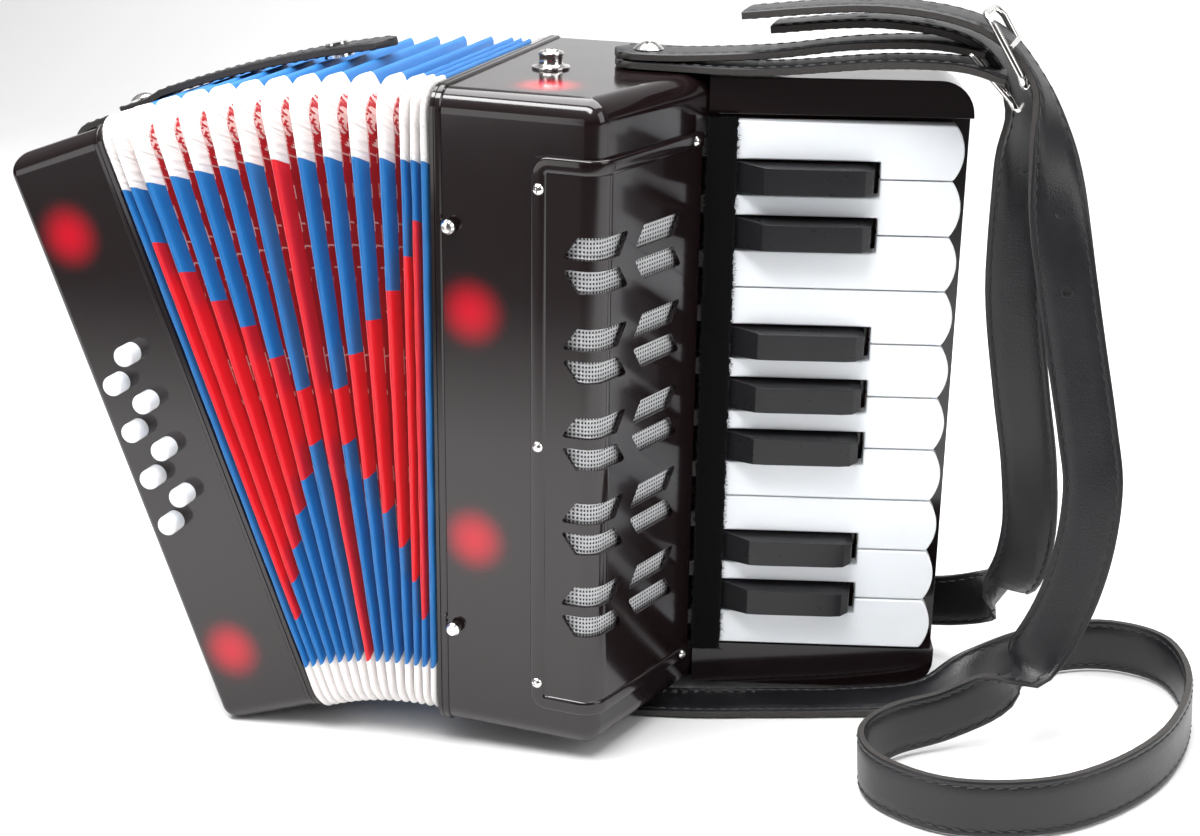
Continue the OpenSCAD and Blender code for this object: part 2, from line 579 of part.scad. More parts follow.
treble_case();
treble_back_cover();
grille_cover();
grille_mesh();
treble_fasteners();
keyboard_bed();
key_felt();
key_axle();
treble_reed_block();
snap_stud();
shoulder_strap_front();
shoulder_strap_rear();
strap_tabs();
strap_buckles();
bass_case();
bass_reed_block();
hand_strap();
bass_screws();
bellows_strap();
snap_socket();
white_key_1();
white_key_2();
white_key_3();
white_key_4();
white_key_5();
white_key_6();
white_key_7();
white_key_8();
white_key_9();
white_key_10();
black_key_1();
black_key_2();
black_key_3();
black_key_4();
black_key_5();
black_key_6();
black_key_7();
bass_button_1();
bass_button_2();
bass_button_3();
bass_button_4();
bass_button_5();
bass_button_6();
bass_button_7();
bass_button_8();
bellows_fold_01();
bellows_fold_02();
bellows_fold_03();
bellows_fold_04();
bellows_fold_05();
bellows_fold_06();
bellows_fold_07();
bellows_fold_08();
bellows_fold_09();
bellows_fold_10();
bellows_fold_11();
bellows_fold_12();
bellows_fold_13();
bellows_fold_14();
bellows_fold_15();
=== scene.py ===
"""Looks of a children's piano accordion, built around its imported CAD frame."""

import math
import random

import bmesh
import bpy
from mathutils import Matrix, Vector


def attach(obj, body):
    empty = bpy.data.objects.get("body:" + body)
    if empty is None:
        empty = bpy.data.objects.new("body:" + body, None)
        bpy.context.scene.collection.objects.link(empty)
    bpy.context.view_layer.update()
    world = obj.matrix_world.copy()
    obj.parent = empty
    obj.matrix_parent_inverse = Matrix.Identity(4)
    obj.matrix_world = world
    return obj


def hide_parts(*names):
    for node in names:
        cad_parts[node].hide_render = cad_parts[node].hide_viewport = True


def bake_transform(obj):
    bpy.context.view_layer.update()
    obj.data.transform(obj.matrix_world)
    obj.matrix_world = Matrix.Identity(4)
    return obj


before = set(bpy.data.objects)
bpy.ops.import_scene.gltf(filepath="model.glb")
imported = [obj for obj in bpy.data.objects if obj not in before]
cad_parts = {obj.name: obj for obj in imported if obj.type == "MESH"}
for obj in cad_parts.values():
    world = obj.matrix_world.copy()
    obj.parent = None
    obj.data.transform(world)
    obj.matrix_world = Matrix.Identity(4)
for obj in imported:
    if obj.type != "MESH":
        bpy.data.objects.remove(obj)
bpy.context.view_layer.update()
random.seed(7)

# ---------------------------------------------------------------- sizes, in millimetres
MM = 0.001
CASE_H, CASE_D, CASE_W, WALL = 230, 116, 77, 2.4
RIDGE_X, RIDGE_OUT, SLANT_Y, RIDGE_R = 59, 2, 60, 7
EDGE_R, BACK_R = 8, 1.6
KEY_ANGLE, KEY_PITCH, KEY_Z0, KEYS = 15.7, 19.6, 19.2, 10
WHITE_END, BLACK_END, BLACK_W, BLACK_UP, KEY_T = 87.5, 57.5, 11, 7, 7
BED_LEN, BED_T, BED_R, BED_FLOOR, KEY_TOP = 90.3, 24, 12, 9.5, -3
FOLDS, FOLD_PITCH, FAN_ANGLE, HINGE_Z = 15, 3.2, 20, 3.5
FOLD_TOP, FOLD_OUT, FOLD_DEPTH = 231.5, 2, 14
BASS_W, BASS_Z0, BASS_Z1, FOOT_R, BUTTON_R = 42, 5, 229, 7, 3.75
STRAP_W, STRAP_T = 20, 2.6
TIE_X, TIE_Y, TIE_W, TIE_END, TIE_LEFT, TIE_GAP = -12, 51, 18, 94, 21, 1.7
HAND_W, HAND_OUT = 24, 18
MID = (53.86, 50)
BLACK_AT = (1, 2, 4, 5, 6, 8, 9)
SLOT_ROWS, ROW_PITCH, SLOT_H, SLOT_GAP, SLOT_LEAN = 5, 30.7, 7.6, 3.6, 5.4

SLANT_LEN = math.hypot(CASE_W - RIDGE_X, SLANT_Y + RIDGE_OUT)
SLANT = math.atan2(SLANT_Y + RIDGE_OUT, CASE_W - RIDGE_X)
FRONT = math.atan2(-RIDGE_OUT, RIDGE_X)
GRILLE_END = SLANT_LEN - 5.2
KEYS_Z1 = KEY_Z0 + KEYS * KEY_PITCH


# ---------------------------------------------------------------- frames, in metres
def share(j):
    """How much of the fan hinge j takes: the last folds at each end stay nearly closed."""
    if j <= 3 or j >= FOLDS:
        return 0.05
    return 0.65 if j == 4 else 0.5 if j == FOLDS - 1 else 1


TOTAL_SHARE = sum(share(j) for j in range(1, FOLDS + 2))


def turned(k):
    return math.radians(FAN_ANGLE) * sum(share(j) for j in range(1, k + 1)) / TOTAL_SHARE


def hinge_at(j):
    x, z = 0.0, HINGE_Z
    for i in range(1, j):
        x -= FOLD_PITCH * math.cos(turned(i))
        z -= FOLD_PITCH * math.sin(turned(i))
    return x, z


def move(x, y, z):
    return Matrix.Translation((x * MM, y * MM, z * MM))


def fan_local(k):
    x, z = hinge_at(k)
    return move(x, 0, z) @ Matrix.Rotation(-turned(k), 4, "Y") @ move(0, 0, -HINGE_Z)


def stand():
    """Rolls the instrument until the bass corner and the keyboard corner both touch z = 0."""
    a = fan_local(FOLDS + 1) @ Vector(((-BASS_W + FOOT_R) * MM, 0, (BASS_Z0 + FOOT_R) * MM)) / MM
    bx = CASE_W + (BED_LEN - BED_R) * math.cos(math.radians(KEY_ANGLE))
    dx, dz = bx - a.x, 1 + BED_R - a.z
    roll = math.atan2(dz, dx) + math.asin((FOOT_R - BED_R) / math.hypot(dx, dz))
    lift = FOOT_R + a.x * math.sin(roll) - a.z * math.cos(roll)
    return move(-MID[0], -MID[1], lift) @ Matrix.Rotation(roll, 4, "Y")


STANCE = stand()
ROOM = move(-MID[0], -MID[1], 0)
IN_KEYS = STANCE @ move(CASE_W, SLANT_Y, 0) @ Matrix.Rotation(math.radians(KEY_ANGLE), 4, "Z")


def in_fan(k):
    return STANCE @ fan_local(k)


IN_BASS = in_fan(FOLDS + 1)


# ---------------------------------------------------------------- materials
class Nodes:
    """A material with its Principled shader and short helpers to add nodes."""

    def __init__(self, name, color, rough, **sockets):
        self.mat = bpy.data.materials.new(name)
        self.mat.use_nodes = True
        self.tree = self.mat.node_tree
        self.bsdf = self.tree.nodes["Principled BSDF"]
        self.bsdf.inputs["Base Color"].default_value = (*color, 1)
        self.bsdf.inputs["Roughness"].default_value = rough
        for key, value in sockets.items():
            self.bsdf.inputs[key.replace("_", " ")].default_value = value

    def add(self, kind, **values):
        node = self.tree.nodes.new(kind)
        for key, value in values.items():
            if key in node.inputs:
                node.inputs[key].default_value = value
            else:
                setattr(node, key, value)
        return node

    def link(self, a, b):
        self.tree.links.new(a, b)

    def coords(self, kind="Object"):
        return self.add("ShaderNodeTexCoord").outputs[kind]

    def noise(self, scale, detail=3.0, rough=0.5, vector=None):
        n = self.add("ShaderNodeTexNoise", Scale=scale, Detail=detail, Roughness=rough)
        self.link(vector or self.coords(), n.inputs["Vector"])
        return n.outputs["Fac"]

    def math(self, op, a, b=0.0, c=None, clamp=False):
        n = self.add("ShaderNodeMath", operation=op, use_clamp=clamp)
        for i, v in enumerate((a, b) if c is None else (a, b, c)):
            if isinstance(v, (int, float)):
                n.inputs[i].default_value = v
            else:
                self.link(v, n.inputs[i])
        return n.outputs[0]

    def ramp(self, fac, stops, constant=False):
        n = self.add("ShaderNodeValToRGB")
        n.color_ramp.interpolation = "CONSTANT" if constant else "LINEAR"
        while len(n.color_ramp.elements) < len(stops):
            n.color_ramp.elements.new(1.0)
        for e, (at, color) in zip(n.color_ramp.elements, stops):
            e.position = at
            e.color = (*color, 1) if len(color) == 3 else color
        self.link(fac, n.inputs["Fac"])
        return n.outputs["Color"]

    def mix(self, fac, a, b):
        n = self.add("ShaderNodeMix", data_type="RGBA")
        for socket, v in ((n.inputs["Factor"], fac), (n.inputs[6], a), (n.inputs[7], b)):
            if isinstance(v, (int, float)):
                socket.default_value = v
            elif isinstance(v, tuple):
                socket.default_value = (*v, 1)
            else:
                self.link(v, socket)
        return n.outputs[2]

    def color(self, socket):
        self.link(socket, self.bsdf.inputs["Base Color"])

    def rough(self, fac, lo, hi):
        n = self.add("ShaderNodeMapRange", **{"To Min": lo, "To Max": hi})
        self.link(fac, n.inputs["Value"])
        self.link(n.outputs["Result"], self.bsdf.inputs["Roughness"])

    def bump(self, height, strength, distance):
        n = self.add("ShaderNodeBump", Strength=strength, Distance=distance)
        self.link(height, n.inputs["Height"])
        previous = self.bsdf.inputs["Normal"]
        if previous.is_linked:
            self.link(previous.links[0].from_socket, n.inputs["Normal"])
        self.link(n.outputs["Normal"], previous)


PLASTIC = (0.008, 0.004, 0.0045)
# red of the airbrushed spots, also used as their painted glow
SPOT_RED_AND_GLOW = (0.46, 0.0, 0.012)


def glossy_plastic(name, spots=()):
    """Brown-black glossy plastic, with soft red airbrushed spots at the given local points (mm); the spots
    also glow weakly through emission, a painted glow.
    """
    m = Nodes(name, PLASTIC, 0.1, Coat_Weight=0.15, Coat_Roughness=0.04)
    if spots:
        geo = m.coords()
        total = None
        for x, y, z, radius in spots:
            d = m.add("ShaderNodeVectorMath", operation="DISTANCE")
            m.link(geo, d.inputs[0])
            d.inputs[1].default_value = (x * MM, y * MM, z * MM)
            n = m.add("ShaderNodeMapRange", interpolation_type="SMOOTHERSTEP",
                      **{"From Min": radius * 1.3 * MM, "From Max": -radius * 0.1 * MM})
            m.link(d.outputs["Value"], n.inputs["Value"])
            total = n.outputs["Result"] if total is None else m.math("ADD", total, n.outputs["Result"])
        m.color(m.mix(total, PLASTIC, SPOT_RED_AND_GLOW))
        # painted glow: the red spots also emit a weak light of their own, which painted plastic does not give
        m.link(m.mix(total, (0, 0, 0), SPOT_RED_AND_GLOW), m.bsdf.inputs["Emission Color"])
        m.bsdf.inputs["Emission Strength"].default_value = 0.04
    m.rough(m.noise(90, 4), 0.08, 0.16)
    m.bump(m.noise(26, 2), 0.05, 0.0006)
    return m.mat


def chrome(name, rough=0.12):
    m = Nodes(name, (0.78, 0.76, 0.74), rough, Metallic=1.0)
    m.rough(m.noise(900, 3), rough * 0.7, rough * 1.6)
    return m.mat


def leather(name, color=(0.005, 0.005, 0.006), grain=900, shine=(0.28, 0.5)):
    m = Nodes(name, color, 0.4, Specular_IOR_Level=0.45)
    v = m.add("ShaderNodeTexVoronoi", Scale=grain, feature="DISTANCE_TO_EDGE")
    m.link(m.coords(), v.inputs["Vector"])
    cells = m.math("MULTIPLY", v.outputs["Distance"], 2.2, clamp=True)
    wear = m.noise(60, 5, 0.65)
    m.color(m.mix(wear, color, tuple(c * 1.9 for c in color)))
    m.rough(wear, *shine)
    m.bump(m.noise(70, 4), 0.25, 0.0006)
    m.bump(cells, 0.35, 0.00012)
    return m.mat


def raw_edge(name):
    m = Nodes(name, (0.06, 0.055, 0.05), 0.8)
    fibres = m.noise(1600, 4, 0.7)
    m.color(m.mix(fibres, (0.006, 0.005, 0.005), (0.055, 0.05, 0.046)))
    m.bump(fibres, 0.6, 0.0003)
    return m.mat


def key_white(name):
    m = Nodes(name, (0.86, 0.87, 0.9), 0.22, Subsurface_Weight=0.06, Coat_Weight=0.25, Coat_Roughness=0.08)
    tone = m.noise(22, 4)
    m.color(m.mix(tone, (0.80, 0.82, 0.87), (0.93, 0.93, 0.94)))
    m.rough(m.noise(300, 3), 0.16, 0.3)
    return m.mat


def key_black(name):
    m = Nodes(name, (0.018, 0.018, 0.02), 0.3, Specular_IOR_Level=0.32)
    grain = m.noise(1400, 2)
    m.color(m.mix(m.noise(40, 4), (0.007, 0.007, 0.008), (0.016, 0.016, 0.018)))
    m.rough(m.noise(200, 3), 0.22, 0.38)
    m.bump(grain, 0.08, 0.0001)
    return m.mat


def felt(name):
    m = Nodes(name, (0.004, 0.004, 0.005), 0.95, Sheen_Weight=0.04, Specular_IOR_Level=0.05)
    nap = m.noise(1500, 5, 0.75)
    m.color(m.mix(nap, (0.0005, 0.0005, 0.0005), (0.005, 0.005, 0.006)))
    m.bump(nap, 0.9, 0.0005)
    return m.mat


def weave(name):
    """Open white cloth: crossing threads over gaps painted near-black, painted shade of the case's inside
    seen through the cloth, laid out in the sheet's UV (mm).
    """
    m = Nodes(name, (0.75, 0.75, 0.76), 0.55)
    pitch = 1.5
    uv = m.add("ShaderNodeSeparateXYZ")
    m.link(m.coords("UV"), uv.inputs[0])
    across = [m.math("ABSOLUTE", m.math("SUBTRACT", m.math("FRACT", m.math("DIVIDE", c, pitch)), 0.5))
              for c in (uv.outputs[0], uv.outputs[1])]
    # painted shade: the gaps between the threads are coloured near-black for the shaded inside of the case
    # behind the cloth
    shaded_gap = m.math("MULTIPLY", m.math("LESS_THAN", across[0], 0.26), m.math("LESS_THAN", across[1], 0.25))
    thread = m.math("ADD", across[0], across[1])
    m.color(m.mix(shaded_gap, m.mix(m.noise(1200, 2), (0.5, 0.5, 0.52), (0.95, 0.95, 0.97)), (0.01, 0.01, 0.012)))
    m.bump(thread, 1.0, 0.0006)
    return m.mat


BLUE, RED, WHITE = (0.005, 0.15, 0.44), (0.70, 0.003, 0.014), (0.88, 0.85, 0.84)
PAPER = (0.42, 0.004, 0.012)
U_LOW, U_SPAN = -70.0, 400.0
TAPE = 6.6


def bellows_card(name, m_off):
    """Folded card of the fold m_off steps from the middle. UV: x = place around the ring, y = depth (mm)."""
    m = Nodes(name, BLUE, 0.45, Sheen_Weight=0.1)
    uv = m.add("ShaderNodeSeparateXYZ")
    m.link(m.coords("UV"), uv.inputs[0])
    place, depth = uv.outputs[0], uv.outputs[1]
    fac = m.math("DIVIDE", m.math("SUBTRACT", place, U_LOW), U_SPAN)

    def at(u):
        return (u - U_LOW) / U_SPAN

    bands = [(0.0, BLUE), (at(-14.5), WHITE), (at(21.8), BLUE)]
    if m_off == 0:
        bands = [(0.0, BLUE), (at(-14.5), WHITE), (at(21.8), RED)]
    elif m_off < 7:
        bands += [(at(116.5 - 12.6 * m_off), RED), (at(113 + 12 * m_off), BLUE)]
    bands += [(at(206.5), WHITE), (at(249.5), BLUE)]
    tape = m.ramp(fac, bands, constant=True)
    # printed wrapping paper inside the folds: thin broken right-angled lines on dark red
    grid = m.add("ShaderNodeTexBrick", Scale=1.0, offset=0.35)
    stretch = m.add("ShaderNodeMapping")
    stretch.inputs["Scale"].default_value = (0.11, 0.16, 1)
    m.link(m.coords("UV"), stretch.inputs["Vector"])
    m.link(stretch.outputs[0], grid.inputs["Vector"])
    for key, value in (("Mortar Size", 0.035), ("Brick Width", 0.9), ("Row Height", 0.55),
                       ("Mortar Smooth", 0.0)):
        grid.inputs[key].default_value = value
    broken = m.math("GREATER_THAN", m.noise(0.09, 1, vector=m.coords("UV")), 0.52)
    line = m.math("MULTIPLY", grid.outputs["Fac"], broken)
    caps = m.math("MAXIMUM", m.math("GREATER_THAN", place, 213.0), m.math("LESS_THAN", place, 15.0))
    blotch = m.math("MULTIPLY", m.math("GREATER_THAN", m.noise(0.22, 3, vector=m.coords("UV")), 0.5), caps)
    inside = m.mix(line, PAPER, (0.72, 0.45, 0.42))
    inside = m.mix(blotch, inside, (0.75, 0.55, 0.53))
    deep = m.math("GREATER_THAN", depth, TAPE)
    m.color(m.mix(deep, tape, inside))
    # cloth grain, and creases gathered around the leather corners
    white = m.math("MULTIPLY", m.math("GREATER_THAN", place, 206.5), m.math("LESS_THAN", place, 249.5))
    crease = m.add("ShaderNodeTexNoise", Scale=1.0, Detail=4.0)
    squeeze = m.add("ShaderNodeMapping")
    squeeze.inputs["Scale"].default_value = (0.5, 0.05, 1)
    m.link(m.coords("UV"), squeeze.inputs["Vector"])
    m.link(squeeze.outputs[0], crease.inputs["Vector"])
    m.bump(m.math("MULTIPLY", crease.outputs["Fac"], white), 0.8, 0.0016)
    m.bump(m.noise(1500, 3), 0.25, 0.00012)
    m.rough(m.noise(120, 3), 0.36, 0.55)
    return m.mat


def wood(name):
    m = Nodes(name, (0.5, 0.33, 0.18), 0.6)
    wave = m.add("ShaderNodeTexWave", Scale=90.0, Distortion=6.0, Detail=3.0)
    m.link(m.coords(), wave.inputs["Vector"])
    m.color(m.mix(wave.outputs["Fac"], (0.36, 0.22, 0.11), (0.62, 0.43, 0.25)))
    m.bump(wave.outputs["Fac"], 0.2, 0.0003)
    return m.mat


def matte_shell(name):
    m = Nodes(name, (0.02, 0.018, 0.018), 0.5)
    m.color(m.mix(m.noise(50, 4), (0.014, 0.012, 0.012), (0.03, 0.026, 0.026)))
    m.bump(m.noise(1300, 2), 0.2, 0.0001)
    return m.mat


TREBLE_SPOTS = [(14, -0.4, 156.2, 12.3), (14.5, -0.4, 74.2, 12.3), (33.6, 20.2, CASE_H, 12.3)]
BASS_SPOTS = [(-27.5, 0, 196.8, 12.3), (-27.5, 0, 34, 12.3)]
M_TREBLE = glossy_plastic("case_plastic_treble", TREBLE_SPOTS)
M_BASS = glossy_plastic("case_plastic_bass", BASS_SPOTS)
M_PLASTIC = glossy_plastic("case_plastic")
M_CHROME, M_STEEL = chrome("chrome"), chrome("steel", 0.25)
M_LEATHER, M_EDGE = leather("strap_leather"), raw_edge("strap_edge")
# painted shade: near-black leather for the discs that stand in for the punched holes
M_HOLE_SHADE = leather("strap_hole_shade", (0.002,) * 3)
M_THREAD = leather("strap_thread", (0.012, 0.012, 0.013), 2500, (0.5, 0.7))
M_WHITE, M_BLACK = key_white("key_white"), key_black("key_black")
M_FELT, M_WEAVE = felt("felt"), weave("mesh_cloth")
M_WOOD, M_INNER = wood("reed_wood"), matte_shell("inner_plastic")
M_FOLD = [bellows_card(f"bellows_card_{k}", k) for k in range(8)]


# ---------------------------------------------------------------- mesh helpers
def new_object(name, verts, faces, mats, matrix, body, slot, smooth=40, uvs=None, face_mats=None):
    """A mesh from points in millimetres of a local frame; rides on body when one is given."""
    mesh = bpy.data.meshes.new(name)
    mesh.from_pydata([Vector(v) * MM for v in verts], [], faces)
    for mat in mats if isinstance(mats, (list, tuple)) else [mats]:
        mesh.materials.append(mat)
    if face_mats:
        mesh.polygons.foreach_set("material_index", face_mats)
    if uvs:
        layer = mesh.uv_layers.new(name="UVMap")
        for poly in mesh.polygons:
            for li in poly.loop_indices:
                layer.data[li].uv = uvs[mesh.loops[li].vertex_index]
    fix_normals(mesh)
    mesh.shade_smooth()
    mesh.set_sharp_from_angle(angle=math.radians(smooth))
    obj = bpy.data.objects.new(name, mesh)
    bpy.context.scene.collection.objects.link(obj)
    obj.matrix_world = matrix
    if body:
        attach(obj, body)
    return obj


def fix_normals(mesh):
    bm = bmesh.new()
    bm.from_mesh(mesh)
    bmesh.ops.recalc_face_normals(bm, faces=bm.faces)
    bm.to_mesh(mesh)
    bm.free()


def apply_modifiers(obj, smooth=40):
    """Turns the object's modifiers into its mesh."""
    bpy.context.view_layer.update()
    shaped = obj.evaluated_get(bpy.context.evaluated_depsgraph_get())
    mesh = bpy.data.meshes.new_from_object(shaped)
    obj.modifiers.clear()
    obj.data = mesh
    mesh.shade_smooth()
    mesh.set_sharp_from_angle(angle=math.radians(smooth))
    return obj


def weigh_normals(obj):
    """Keeps flat faces flat beside their rounded edges."""
    mod = obj.modifiers.new("normals", "WEIGHTED_NORMAL")
    mod.mode, mod.weight, mod.keep_sharp = "FACE_AREA", 100, True
    bpy.context.view_layer.update()
    mesh = bpy.data.meshes.new_from_object(obj.evaluated_get(bpy.context.evaluated_depsgraph_get()))
    obj.modifiers.clear()
    obj.data = mesh


def bevel(obj, width, segments=3, angle=35):
    mod = obj.modifiers.new("edges", "BEVEL")
    mod.width, mod.segments, mod.limit_method = width * MM, segments, "ANGLE"
    mod.angle_limit = math.radians(angle)
    mod.use_clamp_overlap = True
    apply_modifiers(obj, 50)
    weigh_normals(obj)


def prism(outline, lo, hi, axis):
    """Closed prism of a 2D outline. axis y: outline is (x, z) from y = lo to hi; axis z: (x, y)."""
    n = len(outline)
    if axis == "y":
        verts = [(a, lo, b) for a, b in outline] + [(a, hi, b) for a, b in outline]
    else:
        verts = [(a, b, lo) for a, b in outline] + [(a, b, hi) for a, b in outline]
    faces = [list(range(n)), list(range(n, 2 * n))]
    faces += [[i, (i + 1) % n, n + (i + 1) % n, n + i] for i in range(n)]
    return verts, faces


def join_parts(parts):
    """Several (verts, faces) as one."""
    verts, faces = [], []
    for v, f in parts:
        base = len(verts)
        verts += list(v)
        faces += [[i + base for i in face] for face in f]
    return verts, faces


def arc(cx, cy, r, a0, a1, n):
    return [(cx + r * math.cos(math.radians(a0 + (a1 - a0) * i / n)),
             cy + r * math.sin(math.radians(a0 + (a1 - a0) * i / n))) for i in range(n + 1)]


def round_rect(x0, y0, x1, y1, r, n=8):
    return (arc(x1 - r, y0 + r, r, -90, 0, n) + arc(x1 - r, y1 - r, r, 0, 90, n)
            + arc(x0 + r, y1 - r, r, 90, 180, n) + arc(x0 + r, y0 + r, r, 180, 270, n))


def lathe(profile, segments=40):
    """Turns (radius, height) around +z."""
    verts, faces = [], []
    for i in range(segments):
        a = 2 * math.pi * i / segments
        verts += [(r * math.cos(a), r * math.sin(a), h) for r, h in profile]
    n = len(profile)
    for i in range(segments):
        j = (i + 1) % segments
        faces += [[i * n + k, j * n + k, j * n + k + 1, i * n + k + 1] for k in range(n - 1)]
    faces.append([i * n for i in range(segments)])
    faces.append([i * n + n - 1 for i in range(segments)])
    return verts, faces


def catmull(points, n):
    """Smooth path through points, n steps between each two."""
    out = []
    for i in range(len(points) - 1):
        a, b, c, d = (Vector(points[min(max(i + k, 0), len(points) - 1)]) for k in (-1, 0, 1, 2))
        for k in range(n):
            t = k / n
            out.append(0.5 * (2 * b + (c - a) * t + (2 * a - 5 * b + 4 * c - d) * t * t
                              + (3 * b - a - 3 * c + d) * t ** 3))
    return out + [Vector(points[-1])]


# ---------------------------------------------------------------- straps
def strap_section(w, t):
    """Rounded flat section as (across, up), with a sewn groove near each edge on both faces."""
    h, e = w / 2, t / 2
    top = [(-h + 0.15, e * 0.75), (-h + 0.7, e), (-h + 1.6, e), (-h + 2.1, e - 0.28), (-h + 2.6, e),
           (-h * 0.4, e + 0.12), (h * 0.4, e + 0.12), (h - 2.6, e), (h - 2.1, e - 0.28), (h - 1.6, e),
           (h - 0.7, e), (h - 0.15, e * 0.75)]
    return top + [(x, -y) for x, y in reversed(top)]


def strap(name, path, widths, w, t, matrix, body, slot="strap_leather", steps=6, stitched=True,
          holes=(), round_ends=(0, 0), replaces=()):
    """A sewn leather strap swept along path; widths gives the direction across it at each point."""
    points, across = catmull(path, steps), catmull(widths, steps)
    n = len(points)
    tangents = [(points[min(i + 1, n - 1)] - points[max(i - 1, 0)]).normalized() for i in range(n)]
    sides = [(a - a.dot(t_) * t_).normalized() for a, t_ in zip(across, tangents)]
    ups = [t_.cross(s) for t_, s in zip(tangents, sides)]
    length = [0.0]
    for i in range(1, n):
        length.append(length[-1] + (points[i] - points[i - 1]).length)
    section = strap_section(w, t)
    m = len(section)
    verts = []
    for i in range(n):
        near = min(length[i] if round_ends[0] else 1e9, length[-1] - length[i] if round_ends[1] else 1e9)
        k = 1.0 if near >= w / 2 else math.sqrt(max(1 - (1 - near / (w / 2)) ** 2, 0.02))
        verts += [points[i] + sides[i] * x * k + ups[i] * y for x, y in section]
    faces = [[i * m + c, i * m + (c + 1) % m, (i + 1) * m + (c + 1) % m, (i + 1) * m + c]
             for i in range(n - 1) for c in range(m)]
    face_mats = [1 if c in (m - 1, m // 2 - 1) else 0 for i in range(n - 1) for c in range(m)]
    faces += [list(range(m)), list(range((n - 1) * m, n * m))]
    face_mats += [1, 1]
    obj = new_object(name, verts, faces, [M_LEATHER, M_EDGE], matrix, body, slot, 50, face_mats=face_mats)

    def place_at(at):
        i = max(j for j in range(n - 1) if length[j] <= at)
        f = (at - length[i]) / max(length[i + 1] - length[i], 1e-6)
        return (points[i].lerp(points[i + 1], f), tangents[i].lerp(tangents[i + 1], f).normalized(),
                sides[i].lerp(sides[i + 1], f).normalized(), ups[i].lerp(ups[i + 1], f).normalized())

    if stitched:
        parts = []
        at = 4.0
        while at < length[-1] - 4:
            p, tan, side, up = place_at(at)
            for sx in (-1, 1):
                for sz in (-1, 1):
                    c = p + side * sx * (w / 2 - 2.1) + up * sz * (t / 2 - 0.12)
                    tilt = tan + side * 0.12 * sx
                    ring = [(-1.6, 0, 0), (-1.0, 0.36, 0), (1.0, 0.36, 0), (1.6, 0, 0), (1.0, -0.36, 0),
                            (-1.0, -0.36, 0), (-0.8, 0, 0.42), (0.8, 0, 0.42)]
                    parts.append(([c + tilt * a + side * b + up * sz * h for a, b, h in ring],
                                  [[0, 1, 6], [1, 2, 7, 6], [2, 3, 7], [3, 4, 7], [4, 5, 6, 7], [5, 0, 6],
                                   [0, 5, 4, 3, 2, 1]]))
            at += 4.4
        v, f = join_parts(parts)
        new_object(name + "_stitches", v, f, M_THREAD, matrix, body, slot, 30)
    # painted shade: a near-black disc with a raised lip on each face stands in for every punched hole
    if holes:
        parts = []
        for at in holes:
            p, tan, side, up = place_at(at)
            for sz in (-1, 1):
                disc, fs = lathe([(0.01, 0.02), (1.5, 0.02), (1.7, 0.12), (1.95, 0.16), (2.2, 0.0)], 20)
                placed = [p + tan * x + side * y + up * sz * (t / 2 + 0.12 + z) for x, y, z in disc]
                parts.append((placed, fs))
        v, f = join_parts(parts)
        new_object(name + "_holes", v, f, M_HOLE_SHADE, matrix, body, slot, 50)
    if replaces:
        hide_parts(*replaces)
    return obj


# ---------------------------------------------------------------- cases
def ridge_base(s, h=0.0):
    """Point of the grille side, s along it from the ridge, h out of it: (x, y)."""
    turn = SLANT - FRONT
    tan_len = RIDGE_R * math.tan(turn / 2)
    if abs(s) >= tan_len:
        a = SLANT if s > 0 else FRONT
        return (RIDGE_X + s * math.cos(a) + h * math.sin(a), -RIDGE_OUT + s * math.sin(a) - h * math.cos(a))
    a = FRONT + turn * (s + tan_len) / (2 * tan_len)
    start = (RIDGE_X - tan_len * math.cos(FRONT), -RIDGE_OUT - tan_len * math.sin(FRONT))
    centre = (start[0] - RIDGE_R * math.sin(FRONT), start[1] + RIDGE_R * math.cos(FRONT))
    return (centre[0] + (RIDGE_R + h) * math.sin(a), centre[1] - (RIDGE_R + h) * math.cos(a))


def fillet_inset(z, z0, z1, r):
    """How far an edge of radius r pulls in at height z between z0 and z1."""
    d = max(z0 + r - z, z - z1 + r, 0)
    return r - math.sqrt(max(r * r - min(d, r) ** 2, 0))


def fillet_levels(z0, z1, r, n=9):
    low = [z0 + r * (1 - math.sin(math.radians(90 * i / n))) for i in range(n, -1, -1)]
    return low + [z0 + z1 - z for z in reversed(low)]


def treble_plan(z):
    """Outline of the treble case at height z, from the front of the bellows side round to its back."""
    d = fillet_inset(z, 0, CASE_H, EDGE_R)
    b = fillet_inset(z, 0, CASE_H, BACK_R)
    s0 = -RIDGE_X / math.cos(FRONT)
    stops = [s0, -15, -10] + [-5.4 + 10.8 * i / 12 for i in range(13)] + [10, 30, 55.5]
    line = []
    for s in stops:
        x, y = ridge_base(s, -min(d, RIDGE_R - 0.3) if abs(s) < 5.5 else -d)
        line.append((max(x, 0.0), y))
    end = ridge_base(SLANT_LEN, -d)
    line.append((min(end[0], CASE_W - b), end[1]))
    x1, y1 = CASE_W - b, CASE_D - b
    line += [(x1, SLANT_Y + 8)] + [(x, y) for x, y in arc(x1 - BACK_R, y1 - BACK_R, BACK_R, 0, 90, 4)]
    return line + [(2.6, y1), (0.0, y1)]


